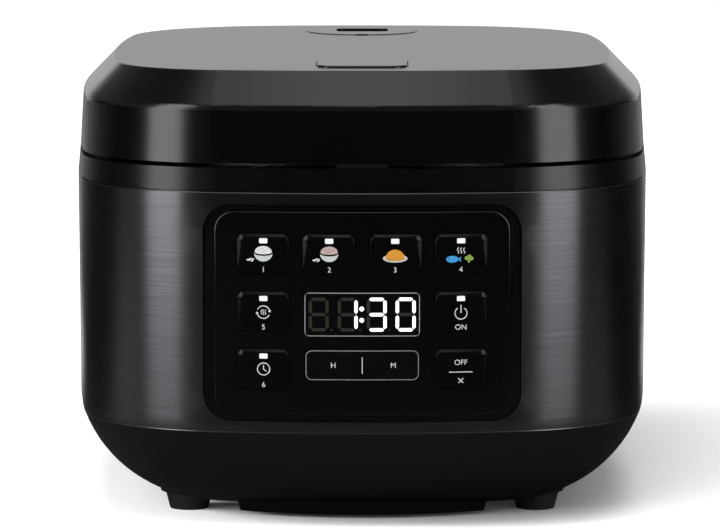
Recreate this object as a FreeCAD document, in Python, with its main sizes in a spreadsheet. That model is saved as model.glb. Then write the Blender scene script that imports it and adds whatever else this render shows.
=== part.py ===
"""A rice cooker with a hinged lid, built piece by piece.

Millimetres. +Z is up, the control panel faces -Y, and the origin is on the floor under the middle.
"""
import FreeCAD
import Part

import math
import os
import re

import Sketcher
from FreeCAD import Vector

DIMENSIONS = {
    # Plan of the body: four bulged sides joined by round corners.
    "half_width": 137.5,
    "half_depth": 172,
    "front_bulge": 412,
    "side_bulge": 916,
    "front_corner": 76,
    "rear_corner": 96,
    # Levels and insets of the outer skin.
    "base_bottom_z": 5.5,
    "base_arc": 64,
    "base_wall": 3,
    "base_lip": 4,
    "sleeve_bottom_z": 46.6,
    "sleeve_top_z": 157.4,
    "sleeve_sheet": 0.8,
    "sleeve_taper": 0.64,
    "sleeve_turn_in": 0.62,
    "sleeve_turn_height": 5.65,
    "sleeve_edge": 0.4,
    "rim_height": 11.1,
    "rim_shadow_gap": 0.8,
    "rim_draft": 0.9,
    "rim_land": 3,
    "rim_wall": 2.3,
    "deck_drop": 3,
    "deck_thickness": 3,
    "lid_gap": 2,
    "lid_inset": 1.3,
    "lid_wall_height": 25.5,
    "lid_draft": 1.5,
    "chamfer_height": 15.7,
    "chamfer_width": 15.2,
    "lid_wall": 2.5,
    "lid_edge_round": 4,
    "lid_top_round": 1.5,
    # Feet, plinths and bottom cover.
    "foot_side_inset": 55.5,
    "foot_end_inset": 68.757353,
    "foot_low_radius": 9,
    "foot_high_radius": 11.6,
    "foot_height": 9.6,
    "foot_gap": 0.6,
    "plinth_bottom_z": 2,
    "plinth_inset": 41,
    "plinth_radius": 131,
    "plinth_thickness": 12,
    "plinth_half_width": 59,
    "plinth_draft": 12,
    "opening_side_inset": 63,
    "opening_end_inset": 83,
    "cover_overlap": 6,
    "cover_thickness": 1.5,
    "cover_slot_length": 44,
    "cover_slot_width": 3,
    "cover_slot_pitch": 9,
    # Cooking chamber, from the liner inwards.
    "liner_side_room": 16.5,
    "liner_front_room": 51,
    "liner_sheet": 1,
    "liner_floor_z": 38,
    "liner_flange": 4.5,
    "pot_gap": 4,
    "pot_wall": 2,
    "pot_flange": 8,
    "pot_flange_thickness": 1.5,
    "pot_corner": 24,
    "contact_gap": 0.3,
    "heater_inset": 28,
    "heater_thickness": 9,
    "heater_lift": 1.7,
    "element_ring": 58,
    "element_radius": 3.4,
    "element_pin_radius": 1.5,
    "band_heater_low_z": 96,
    "band_heater_height": 20,
    "band_heater_thickness": 1.8,
    "sensor_radius": 16,
    "sensor_room": 1.5,
    "sensor_stem_radius": 5,
    "sensor_travel": 3,
    "bracket_radius": 20.2,
    "bracket_depth": 14,
    "bracket_sheet": 1.2,
    "fuse_radius": 3,
    "fuse_length": 18,
    # Lid lining, seal and steam path.
    "frame_lift": 1,
    "frame_thickness": 3,
    "frame_gap": 0.5,
    "inner_lid_thickness": 1.2,
    "gasket_width": 9,
    "knob_radius": 10,
    "steam_cap_inset": 64,
    "steam_cap_radius": 28,
    "steam_cap_rise": 0.3,
    "steam_slot_width": 26,
    "steam_slot_depth": 21,
    "steam_well_depth": 15.7,
    "duct_inset": 78,
    "duct_radius": 12.6,
    "duct_wall": 3,
    # Lid hinge at the back.
    "hinge_inset": 13,
    "hinge_lift": 8.5,
    "hinge_block_radius": 12,
    "hinge_block_half": 54,
    "hinge_notch_half": 70,
    "hinge_notch_gap": 1.5,
    "hinge_ear_radius": 5.6,
    "hinge_ear_width": 12,
    "hinge_pin_radius": 2.5,
    "spring_coil": 3.7,
    "spring_wire": 1.6,
    # Latch and its push button at the front.
    "button_half_width": 21,
    "button_front_inset": 38,
    "button_back_inset": 82,
    "button_corner": 8,
    "button_rise": 0.8,
    "button_wall": 2,
    "button_gap": 0.45,
    "button_travel": 3.5,
    "hook_inset": 16,
    "hook_lift": 16.5,
    "hook_half_width": 11.5,
    "hook_reach": 30,
    "hook_drop": 27,
    "hook_barb": 3,
    "hook_pin_radius": 2,
    "strike_inset": 18,
    "strike_thickness": 2,
    # Control panel, centred on the front face.
    "panel_centre_z": 102.4,
    "panel_width": 135,
    "panel_height": 93.2,
    "panel_corner": 9,
    "panel_rise": 0.8,
    "panel_edge_round": 0.7,
    "panel_back_inset": 7.5,
    "bezel_side": 5.3,
    "bezel_top": 3,
    "bezel_bottom": 3.6,
    "bezel_sink": 1.4,
    "bezel_corner": 13,
    "bezel_flange": 3.2,
    "bezel_flange_sink": 2.054982,
    "key_width": 24,
    "key_height": 18,
    "key_corner": 3,
    "key_rise": 1.4,
    "key_bevel": 0.7,
    "key_gap": 0.3,
    "key_lip": 1.3,
    "key_travel": 0.8,
    "key_pitch": 30,
    "key_row_pitch": 26.45,
    "key_top_row_z": 129.7,
    "window_width": 52.5,
    "window_height": 20,
    "window_corner": 2.5,
    "window_centre_z": 102,
    "rocker_width": 52,
    "rocker_height": 14,
    "rocker_centre_z": 78.7,
    "rocker_end_gap": 0.6,
    "rocker_pin_radius": 1.2,
    "board_thickness": 1.6,
    "board_inset": 14,
    # Power inlet and power board at the back.
    "inlet_offset": 52,
    "inlet_centre_z": 70,
    "inlet_width": 32,
    "inlet_height": 25,
    "inlet_wall": 4,
    "inlet_depth": 29,
    "inlet_cavity": 20,
    "power_board_width": 96,
    "power_board_height": 66,
    # Small fits shared by several pieces.
    "running_gap": 0.05,
    "fixed_gap": 0.3,
    "screw_radius": 1.5,
    "screw_gap": 0.15,
}

# Levels and radii worked out from the dimensions above.
RIM_LOW = "(sleeve_top_z + rim_shadow_gap)"
RIM_TOP = "(sleeve_top_z + rim_height)"
DECK_TOP = f"({RIM_TOP} - deck_drop)"
DECK_LOW = f"({DECK_TOP} - deck_thickness)"
LID_LOW = f"({RIM_TOP} + lid_gap)"
LID_EDGE = f"({LID_LOW} + lid_wall_height)"
LID_TOP = f"({LID_EDGE} + chamfer_height)"
LID_CEILING = f"({LID_TOP} - lid_wall)"
FRAME_LOW = f"({LID_LOW} + frame_lift)"
FRAME_TOP = f"({FRAME_LOW} + frame_thickness)"
BASE_TURN = "(sleeve_taper + sleeve_turn_in)"
BASE_HEIGHT = "(sleeve_bottom_z - base_bottom_z)"
BASE_REACH = f"({BASE_TURN} + sqrt(base_arc ^ 2 - (base_arc - {BASE_HEIGHT}) ^ 2))"
BASE_FLOOR = "(base_bottom_z + base_wall)"
LINER_RADIUS = "min(half_width - liner_side_room; half_depth - liner_front_room)"
OPENING_HALF = f"({LINER_RADIUS} - opening_side_inset)"
LINER_TOP = f"({DECK_TOP} + liner_sheet - 0.2)"
POT_RADIUS = f"({LINER_RADIUS} - liner_sheet - pot_gap)"
HEATER_LOW = "(liner_floor_z + liner_sheet + heater_lift)"
HEATER_TOP = f"({HEATER_LOW} + heater_thickness)"
HEATER_RADIUS = f"({POT_RADIUS} - heater_inset)"
HEATER_HOLE = "(sensor_radius + sensor_room)"
POT_LOW = f"({HEATER_TOP} + contact_gap)"
POT_TOP = f"({DECK_TOP} + 1 + pot_flange_thickness)"
# The feet stand a fixed inset from the bulged ends.
FOOT_UP = ("sqrt(front_bulge ^ 2 - (half_width - foot_side_inset) ^ 2)"
           " - front_bulge + half_depth - foot_end_inset")
HINGE_Y = "(half_depth - hinge_inset)"
HINGE_Z = f"({RIM_TOP} + hinge_lift)"
HOOK_Y = "(hook_inset - half_depth)"
HOOK_Z = f"({LID_LOW} + hook_lift)"
STEAM_Y = "(half_depth - steam_cap_inset)"
DUCT_Y = "(half_depth - duct_inset)"
WELL_LOW = f"({LID_TOP} - steam_well_depth)"
BULGE_Y = "(front_bulge - half_depth)"
PANEL_BACK = "(half_depth - panel_back_inset)"
BOARD_FRONT = "(half_depth - board_inset)"
KEY_BACK = f"({PANEL_BACK} - 1.6)"
BEZEL_WIDTH = "(panel_width + 2 * bezel_side)"
BEZEL_HEIGHT = "(panel_height + bezel_top + bezel_bottom)"
BEZEL_Z = "(panel_centre_z + (bezel_top - bezel_bottom) / 2)"
# The front corner falls away from the bulge behind the bezel's flange, and the flange sinks with it.
SIDE_FALL = "(half_depth - front_corner) ^ 2 / (2 * side_bulge)"
CORNER_START = f"((half_width - {SIDE_FALL} - front_corner) * front_bulge / (front_bulge - front_corner))"
FLANGE_OVER = f"max(0; {BEZEL_WIDTH} / 2 + bezel_flange - {CORNER_START})"
FLANGE_SINK = f"(bezel_flange_sink + ({FLANGE_OVER}) ^ 2 / 2 * (1 / front_corner - 1 / front_bulge))"
HINGE_SCREWS = ("hinge_block_half - 16", "16 - hinge_block_half")
HINGE_SCREW_Y = f"{HINGE_Y} - 6"
EAR_OUT = "hinge_notch_half - 2"
EAR_IN = "hinge_notch_half - 2 - hinge_ear_width"
BUTTON_WIDTH = "2 * button_half_width"
BUTTON_LENGTH = "(button_back_inset - button_front_inset)"
BUTTON_Y = "((button_back_inset + button_front_inset) / 2 - half_depth)"
PLUNGER_FRONT = f"{HOOK_Y} + hook_reach - 5.5"
ROCKER_PIN_Y = f"(1.5 - {PANEL_BACK})"
SWITCH_TOP = f"({KEY_BACK} - key_travel - 0.1)"
INLET_PINS = ("inlet_offset - 5", "inlet_offset + 5")
ELEMENT_PINS = (("element_ring * 0.9848", "element_ring * 0.1736"),
                ("element_ring * 0.9848", "element_ring * -0.1736"))
CARRIER_SCREW_LEVELS = ("panel_centre_z + panel_height / 2 - 5",
                        "panel_centre_z - panel_height / 2 + 5")
CARRIER_SCREWS = [(f"{side} * (panel_width / 2 + 5.2)", level)
                  for side in ("1", "-1") for level in CARRIER_SCREW_LEVELS]

KEYS = {
    "program_key_1": ("-1.5 * key_pitch", "key_top_row_z"),
    "program_key_2": ("-0.5 * key_pitch", "key_top_row_z"),
    "program_key_3": ("0.5 * key_pitch", "key_top_row_z"),
    "program_key_4": ("1.5 * key_pitch", "key_top_row_z"),
    "keep_warm_key": ("-1.5 * key_pitch", "key_top_row_z - key_row_pitch"),
    "start_key": ("1.5 * key_pitch", "key_top_row_z - key_row_pitch"),
    "timer_key": ("-1.5 * key_pitch", "key_top_row_z - 2 * key_row_pitch"),
    "cancel_key": ("1.5 * key_pitch", "key_top_row_z - 2 * key_row_pitch"),
}

doc = FreeCAD.newDocument("rice_cooker")
sheet = doc.addObject("Spreadsheet::Sheet", "dims")
for row, (alias, value) in enumerate(DIMENSIONS.items(), start=1):
    sheet.set(f"A{row}", alias)
    sheet.set(f"B{row}", str(value))
    sheet.setAlias(f"B{row}", alias)
doc.recompute()

NODES = {}


def number(text):
    """Return the value of an expression over the sheet's names."""
    return float(sheet.evalExpression(str(text)))


def bound(text):
    """Write an expression the way other objects of the document refer to the sheet."""
    def named(match):
        word = match.group()
        return f"dims.{word}" if word in DIMENSIONS else word
    return re.sub(r"[A-Za-z_][A-Za-z_0-9]*", named, str(text))


def bind(item, prop, text):
    """Tie one property to an expression over the sheet."""
    item.setExpression(prop, bound(text))


def node(name, item):
    """Keep an object as a finished piece under its own label."""
    item.Label = name
    NODES[name] = item
    return item


def new_body(name):
    """Start a feature-built solid."""
    return doc.addObject("PartDesign::Body", f"{name}_body")


def new_sketch(body, plane, offset="0", along="0"):
    """Add a sketch on an origin plane, moved along its normal and along its own x axis."""
    sketch = body.newObject("Sketcher::SketchObject", f"{body.Name}_sketch")
    support = next(item for item in body.Origin.OriginFeatures if item.Role == f"{plane}_Plane")
    sketch.AttachmentSupport = [(support, "")]
    sketch.MapMode = "FlatFace"
    bind(sketch, "AttachmentOffset.Base.z", offset)
    bind(sketch, "AttachmentOffset.Base.x", along)
    return sketch


def rule(kind, *parts):
    """Return a sketch dimension and the expression that drives it, the last of the parts."""
    return Sketcher.Constraint(kind, *parts[:-1], number(parts[-1])), parts[-1]


def pinned(edge, end, across, up):
    """Return the two dimensions that fix a point of a sketch."""
    return [rule("DistanceX", -1, 1, edge, end, across), rule("DistanceY", -1, 1, edge, end, up)]


def apply_rules(sketch, rules):
    """Add dimensions to a sketch in one go and tie each to its expression."""
    indices = sketch.addConstraint([constraint for constraint, _ in rules])
    for index, (_, text) in zip(indices, rules):
        bind(sketch, f"Constraints[{index}]", text)


def circle(sketch, across, up, radius):
    """Draw a circle."""
    centre = Vector(number(across), number(up), 0)
    edge = sketch.addGeometry(Part.Circle(centre, Vector(0, 0, 1), number(radius)), False)
    apply_rules(sketch, [rule("Radius", edge, radius)] + pinned(edge, 3, across, up))


def polygon(sketch, corners):
    """Draw a closed shape; a corner may add the radius and the turn of the arc that leaves it."""
    points = [Vector(number(corner[0]), number(corner[1]), 0) for corner in corners]
    edges = []
    turns = []
    for corner, here, there in zip(corners, points, points[1:] + points[:1]):
        if len(corner) == 2:
            edges.append(Part.LineSegment(here, there))
            turns.append(1)
            continue
        radius = number(corner[2])
        turn = corner[3]
        chord = there - here
        rise = math.sqrt(max(radius ** 2 - (chord.Length / 2) ** 2, 0))
        left = Vector(-chord.y, chord.x, 0).normalize()
        centre = (here + there) * 0.5 + left * (rise * turn)
        first, last = (here, there) if turn > 0 else (there, here)
        start = math.atan2(first.y - centre.y, first.x - centre.x)
        stop = math.atan2(last.y - centre.y, last.x - centre.x)
        edges.append(Part.ArcOfCircle(Part.Circle(centre, Vector(0, 0, 1), radius), start, stop))
        turns.append(turn)
    added = sketch.addGeometry(edges, False)
    ends = [(edge, 1, 2) if turn > 0 else (edge, 2, 1) for edge, turn in zip(added, turns)]
    sketch.addConstraint([
        Sketcher.Constraint("Coincident", edge, last, following, first)
        for (edge, _, last), (following, first, _) in zip(ends, ends[1:] + ends[:1])
    ])
    rules = []
    for corner, (edge, first, _) in zip(corners, ends):
        rules += pinned(edge, first, corner[0], corner[1])
        if len(corner) == 4:
            rules.append(rule("Radius", edge, corner[2]))
    apply_rules(sketch, rules)


def rectangle(sketch, left, low, right, high):
    """Draw a rectangle between two corners."""
    polygon(sketch, [(left, low), (right, low), (right, high), (left, high)])


def rounded(sketch, across, up, width, height, corner):
    """Draw a rectangle with round corners about its middle."""
    corner = f"({corner})"
    left = f"({across} - ({width}) / 2)"
    right = f"({across} + ({width}) / 2)"
    low = f"({up} - ({height}) / 2)"
    high = f"({up} + ({height}) / 2)"
    polygon(sketch, [
        (f"{left} + {corner}", low),
        (f"{right} - {corner}", low, corner, 1),
        (right, f"{low} + {corner}"),
        (right, f"{high} - {corner}", corner, 1),
        (f"{right} - {corner}", high),
        (f"{left} + {corner}", high, corner, 1),
        (left, f"{high} - {corner}"),
        (left, f"{low} + {corner}", corner, 1),
    ])


def corner_centre(bulge_centre, bulge, side_centre, side, radius, toward):
    """Return the centre of a corner arc that touches a bulge arc and a side arc from inside."""
    line = side_centre - bulge_centre
    near = bulge - radius
    far = side - radius
    along = (near ** 2 - far ** 2 + line.Length ** 2) / (2 * line.Length)
    away = math.sqrt(near ** 2 - along ** 2)
    unit = line / line.Length
    across = Vector(-unit.y, unit.x, 0)
    choices = [bulge_centre + unit * along + across * away, bulge_centre + unit * along - across * away]
    return max(choices, key=lambda point: point.dot(toward))


def outline(body, inset="0", offset="0"):
    """Draw the plan of the body moved inwards by an inset; it starts at the middle of the right side."""
    sketch = new_sketch(body, "XY", offset)
    gap = number(inset)
    width = number("half_width") - gap
    depth = number("half_depth") - gap
    bulge = number("front_bulge") - gap
    side = number("side_bulge") - gap
    front = number("front_corner") - gap
    rear = number("rear_corner") - gap
    right = Vector(width - side, 0, 0)
    left = Vector(side - width, 0, 0)
    back = Vector(0, depth - bulge, 0)
    fore = Vector(0, bulge - depth, 0)
    corners = [
        corner_centre(back, bulge, right, side, rear, Vector(1, 1, 0)),
        corner_centre(back, bulge, left, side, rear, Vector(-1, 1, 0)),
        corner_centre(fore, bulge, left, side, front, Vector(-1, -1, 0)),
        corner_centre(fore, bulge, right, side, front, Vector(1, -1, 0)),
    ]

    def toward(start, end):
        return math.atan2(end.y - start.y, end.x - start.x)

    right_up = toward(right, corners[0])
    back_right = toward(back, corners[0])
    back_left = toward(back, corners[1])
    left_up = toward(left, corners[1])
    left_down = toward(left, corners[2]) + 2 * math.pi
    fore_left = toward(fore, corners[2]) + 2 * math.pi
    fore_right = toward(fore, corners[3]) + 2 * math.pi
    right_down = toward(right, corners[3]) + 2 * math.pi
    arcs = [
        (right, side, 0, right_up, "side_bulge"),
        (corners[0], rear, right_up, back_right, "rear_corner"),
        (back, bulge, back_right, back_left, "front_bulge"),
        (corners[1], rear, back_left, left_up, "rear_corner"),
        (left, side, left_up, left_down, "side_bulge"),
        (corners[2], front, left_down, fore_left, "front_corner"),
        (fore, bulge, fore_left, fore_right, "front_bulge"),
        (corners[3], front, fore_right, right_down, "front_corner"),
        (right, side, right_down, 2 * math.pi, "side_bulge"),
    ]
    sketch.addGeometry([
        Part.ArcOfCircle(Part.Circle(centre, Vector(0, 0, 1), radius), start, stop)
        for centre, radius, start, stop, _ in arcs
    ], False)
    sketch.addConstraint([Sketcher.Constraint("Tangent", edge, 2, (edge + 1) % 9, 1) for edge in range(9)])
    on_axes = ((0, 1, -1), (0, 3, -1), (4, 3, -1), (2, 3, -2), (6, 3, -2))
    sketch.addConstraint([Sketcher.Constraint("PointOnObject", *place) for place in on_axes])
    across = "side_bulge - half_width"
    up = "front_bulge - half_depth"
    rules = [
        rule("DistanceX", 0, 3, -1, 1, across),
        rule("DistanceX", -1, 1, 4, 3, across),
        rule("DistanceY", 2, 3, -1, 1, up),
        rule("DistanceY", -1, 1, 6, 3, up),
    ]
    rules += [rule("Radius", edge, f"{arc[4]} - ({inset})") for edge, arc in enumerate(arcs[:8])]
    apply_rules(sketch, rules)
    return sketch


def pad(body, sketch, length, down=False, both=False, taper=None):
    """Add material along the sketch normal."""
    feature = body.newObject("PartDesign::Pad", f"{body.Name}_pad")
    feature.Profile = sketch
    bind(feature, "Length", length)
    feature.Reversed = down
    feature.Midplane = both
    if taper is not None:
        bind(feature, "TaperAngle", taper)
    body.Tip = feature
    return feature


def pocket(body, sketch, length, ahead=False, both=False):
    """Take material away behind the sketch, or ahead of it."""
    feature = body.newObject("PartDesign::Pocket", f"{body.Name}_pocket")
    feature.Profile = sketch
    bind(feature, "Length", length)
    feature.Reversed = ahead
    feature.Midplane = both
    body.Tip = feature
    return feature


def spin(body, sketch, kind="Revolution"):
    """Turn a sketch about its own vertical axis, adding or taking away material."""
    feature = body.newObject(f"PartDesign::{kind}", f"{body.Name}_spin")
    feature.Profile = sketch
    feature.ReferenceAxis = (sketch, ["V_Axis"])
    feature.Angle = 360
    body.Tip = feature
    return feature


def sweep(body, corners):
    """Carry a section, given as inset and level, around the plan of the body."""
    path = outline(body)
    section = new_sketch(body, "XZ")
    placed = [(f"half_width - ({corner[0]})",) + tuple(corner[1:]) for corner in corners]
    polygon(section, placed)
    feature = body.newObject("PartDesign::AdditivePipe", f"{body.Name}_sweep")
    feature.Profile = section
    feature.Spine = (path, [])
    body.Tip = feature
    return feature


def soften(body, kind, size, chosen):
    """Round or bevel the edges of the last feature that a test picks."""
    doc.recompute()
    base = body.Tip
    names = [f"Edge{index}" for index, edge in enumerate(base.Shape.Edges, start=1) if chosen(edge)]
    feature = body.newObject(f"PartDesign::{kind}", f"{body.Name}_{kind.lower()}")
    feature.Base = (base, names)
    bind(feature, "Radius" if kind == "Fillet" else "Size", size)
    body.Tip = feature
    return feature


def at_level(level):
    """Return a test for edges that lie wholly at one height."""
    height = number(level)

    def test(edge):
        box = edge.BoundBox
        return abs(box.ZMin - height) < 0.01 and abs(box.ZMax - height) < 0.01
    return test


def box(low, high):
    """Make a block between two corners given as expressions."""
    item = doc.addObject("Part::Box", "block")
    for prop, start, stop in zip(("Length", "Width", "Height"), low, high):
        bind(item, prop, f"({stop}) - ({start})")
    for axis, start in zip("xyz", low):
        bind(item, f"Placement.Base.{axis}", start)
    return item


def turned(item, axis):
    """Point an object built along Z along another axis."""
    if axis == "x":
        item.Placement.Rotation = FreeCAD.Rotation(Vector(0, 1, 0), 90)
    if axis == "y":
        item.Placement.Rotation = FreeCAD.Rotation(Vector(1, 0, 0), -90)
    return item


def rod(start, length, radius, axis="z", top_radius=None):
    """Make a round bar, or a tapered one, from its starting point along an axis."""
    item = doc.addObject("Part::Cone" if top_radius else "Part::Cylinder", "round")
    if top_radius:
        bind(item, "Radius1", radius)
        bind(item, "Radius2", top_radius)
    else:
        bind(item, "Radius", radius)
    bind(item, "Height", length)
    turned(item, axis)
    for direction, place in zip("xyz", start):
        bind(item, f"Placement.Base.{direction}", place)
    return item


def joined(items, name="joined"):
    """Fuse several objects into one solid."""
    item = doc.addObject("Part::MultiFuse", name)
    item.Shapes = items
    item.Refine = True
    return item


def group(items, name="group"):
    """Keep several solids of the same kind together."""
    item = doc.addObject("Part::Compound", name)
    item.Links = items
    return item


def cut(base, tools, name="cut"):
    """Take one or more objects away from another."""
    item = doc.addObject("Part::Cut", name)
    item.Base = base
    item.Tool = tools[0] if len(tools) == 1 else joined(tools)
    item.Refine = True
    return item


def shared(first, second, name="shared"):
    """Keep what two objects have in common."""
    item = doc.addObject("Part::Common", name)
    item.Base = first
    item.Tool = second
    item.Refine = True
    return item


def coil(start, radius, wire, height, turns, axis="z"):
    """Wind a wire spring from its starting point along an axis."""
    path = doc.addObject("Part::Helix", "coil_path")
    bind(path, "Radius", radius)
    bind(path, "Height", height)
    bind(path, "Pitch", f"({height}) / {turns}")
    path.SegmentLength = 1
    section = doc.addObject("Part::Circle", "coil_section")
    bind(section, "Radius", f"({wire}) / 2")
    section.Placement.Rotation = FreeCAD.Rotation(Vector(1, 0, 0), 90)
    bind(section, "Placement.Base.x", radius)
    winding = doc.addObject("Part::Sweep", "coil_winding")
    winding.Sections = [section]
    winding.Spine = (path, [])
    winding.Solid = True
    winding.Frenet = True
    placed = doc.addObject("Part::Compound", "coil_placed")
    placed.Links = [winding]
    turned(placed, axis)
    for direction, place in zip("xyz", start):
        bind(placed, f"Placement.Base.{direction}", place)
    return placed


def four(across, up):
    """Return the four places mirrored about both middle planes."""
    return [(f"{x} * ({across})", f"{y} * ({up})") for x in ("1", "-1") for y in ("-1", "1")]


FEET = four("half_width - foot_side_inset", FOOT_UP)
LINER_BOSSES = four(f"({LINER_RADIUS} - 17) * 0.7071", f"({LINER_RADIUS} - 17) * 0.7071")
COVER_SCREWS = four(f"{OPENING_HALF} + cover_overlap / 2", "70")
LID_POSTS = four("half_width - 40", "half_depth - 70")


def build_base_housing():
    """The moulded lower shell: a bowl with a flat floor, two plinths, foot sockets and bosses."""
    body = new_body("base_housing")
    inner_arc = "base_arc - base_wall"
    inner_top = f"{BASE_REACH} - sqrt(({inner_arc}) ^ 2 - (base_arc - {BASE_HEIGHT}) ^ 2)"
    lip_outer = f"{BASE_TURN} + sleeve_sheet + fixed_gap"
    sweep(body, [
        (BASE_TURN, "sleeve_bottom_z", "base_arc", -1),
        (BASE_REACH, "base_bottom_z"),
        (f"{BASE_REACH} + 3", "base_bottom_z"),
        (f"{BASE_REACH} + 3", BASE_FLOOR),
        (BASE_REACH, BASE_FLOOR, inner_arc, 1),
        (inner_top, "sleeve_bottom_z"),
        (inner_top, "sleeve_bottom_z + base_lip"),
        (lip_outer, "sleeve_bottom_z + base_lip"),
        (lip_outer, "sleeve_bottom_z"),
    ])
    pad(body, outline(body, f"{BASE_REACH} + 1.5", "base_bottom_z"), "base_wall")
    outer = "plinth_radius"
    inner = "(plinth_radius - plinth_thickness)"
    middle = "half_depth - plinth_inset - plinth_radius"
    outer_up = f"({middle} + sqrt(plinth_radius ^ 2 - plinth_half_width ^ 2))"
    inner_half = f"plinth_half_width * {inner} / plinth_radius"
    inner_up = f"({middle} + sqrt({inner} ^ 2 - ({inner_half}) ^ 2))"
    plinth_top = f"{BASE_FLOOR} + 0.2"
    for side in ("1", "-1"):
        sketch = new_sketch(body, "XY", plinth_top)
        polygon(sketch, [
            (f"{side} * plinth_half_width", f"{side} * {outer_up}", outer, 1),
            (f"-({side}) * plinth_half_width", f"{side} * {outer_up}"),
            (f"-({side}) * {inner_half}", f"{side} * {inner_up}", inner, -1),
            (f"{side} * {inner_half}", f"{side} * {inner_up}"),
        ])
        pad(body, sketch, f"{plinth_top} - plinth_bottom_z", down=True, taper="-plinth_draft")
    sockets = new_sketch(body, "XY", BASE_FLOOR)
    for across, up in FEET:
        circle(sockets, across, up, "foot_high_radius + foot_gap + 1.2")
    pad(body, sockets, "4")
    bosses = new_sketch(body, "XY", "base_bottom_z + base_wall / 2")
    for across, up in LINER_BOSSES:
        circle(bosses, across, up, "6")
    pad(body, bosses, "liner_floor_z - base_bottom_z - base_wall / 2")
    posts = new_sketch(body, "XY", f"{BASE_FLOOR} - 0.6")
    for across, up in COVER_SCREWS:
        circle(posts, across, up, "4.5")
    pad(body, posts, "6")
    holes = new_sketch(body, "XY", "foot_height + 0.2")
    for across, up in FEET:
        circle(holes, across, up, "foot_high_radius + foot_gap")
    pocket(body, holes, "30")
    opening = new_sketch(body, "XY", BASE_FLOOR)
    width = f"2 * {OPENING_HALF}"
    length = "2 * (half_depth - opening_end_inset)"
    rounded(opening, "0", "0", width, length, "16")
    pocket(body, opening, "30")
    rebate = new_sketch(body, "XY", "base_bottom_z + cover_thickness + 0.1")
    edge = "2 * (cover_overlap + fixed_gap)"
    rounded(rebate, "0", "0", f"{width} + {edge}", f"{length} + {edge}", "20 + fixed_gap")
    pocket(body, rebate, "cover_thickness + 0.1")
    bores = new_sketch(body, "XY", "liner_floor_z")
    for across, up in LINER_BOSSES:
        circle(bores, across, up, "screw_radius + screw_gap")
    pocket(body, bores, "16")
    threads = new_sketch(body, "XY", f"{BASE_FLOOR} + 5.4")
    for across, up in COVER_SCREWS:
        circle(threads, across, up, "screw_radius + screw_gap")
    pocket(body, threads, "20")
    node("base_housing", body)


def build_bottom_cover():
    """The slotted service cover, its screws and the four rubber feet."""
    body = new_body("bottom_cover")
    plate = new_sketch(body, "XY", "base_bottom_z")
    width = f"2 * ({OPENING_HALF} + cover_overlap)"
    length = "2 * (half_depth - opening_end_inset + cover_overlap)"
    rounded(plate, "0", "0", width, length, "20")
    pad(body, plate, "cover_thickness")
    slot = new_sketch(body, "XY", "base_bottom_z + cover_thickness")
    rounded(slot, "0", "-6 * cover_slot_pitch", "cover_slot_length", "cover_slot_width", "1.4")
    first = pocket(body, slot, "cover_thickness + 1")
    slots = body.newObject("PartDesign::LinearPattern", "cover_slots")
    slots.Originals = [first]
    slots.Direction = (slot, ["V_Axis"])
    bind(slots, "Length", "12 * cover_slot_pitch")
    slots.Occurrences = 13
    body.Tip = slots
    holes = new_sketch(body, "XY", "base_bottom_z + cover_thickness")
    for across, up in COVER_SCREWS:
        circle(holes, across, up, "screw_radius + screw_gap")
    pocket(body, holes, "cover_thickness + 1")
    node("bottom_cover", body)
    screws = []
    for across, up in COVER_SCREWS:
        head = rod((across, up, "base_bottom_z - 1.3"), "1.3", "3")
        shank = rod((across, up, "base_bottom_z - 0.5"), "8", "screw_radius")
        screws.append(joined([head, shank]))
    node("bottom_cover_screws", group(screws))
    feet = [rod((across, up, "0"), "foot_height", "foot_low_radius", "z", "foot_high_radius")
            for across, up in FEET]
    node("rubber_feet", group(feet))


def build_sleeve():
    """The rolled steel sleeve with the panel window and the inlet aperture."""
    body = new_body("outer_sleeve")
    turn = "(sleeve_turn_height ^ 2 + sleeve_turn_in ^ 2) / (2 * sleeve_turn_in)"
    turn_top = "sleeve_bottom_z + sleeve_turn_height"
    sweep(body, [
        ("sleeve_edge", "sleeve_top_z"),
        ("0", "sleeve_top_z - sleeve_edge"),
        ("sleeve_taper", turn_top, turn, -1),
        (BASE_TURN, "sleeve_bottom_z"),
        (f"{BASE_TURN} + sleeve_sheet", "sleeve_bottom_z", f"{turn} - sleeve_sheet", 1),
        ("sleeve_taper + sleeve_sheet", turn_top),
        ("sleeve_sheet", "sleeve_top_z"),
    ])
    window = new_sketch(body, "XZ", "half_depth + 5")
    rounded(window, "0", BEZEL_Z, f"{BEZEL_WIDTH}", f"{BEZEL_HEIGHT}", "bezel_corner")
    pocket(body, window, "45")
    aperture = new_sketch(body, "XZ", "-half_depth - 5")
    rounded(aperture, "inlet_offset", "inlet_centre_z", "inlet_width + 2 * fixed_gap",
            "inlet_height + 2 * fixed_gap", "fixed_gap")
    pocket(body, aperture, "45", ahead=True)
    node("outer_sleeve", body)


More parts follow.
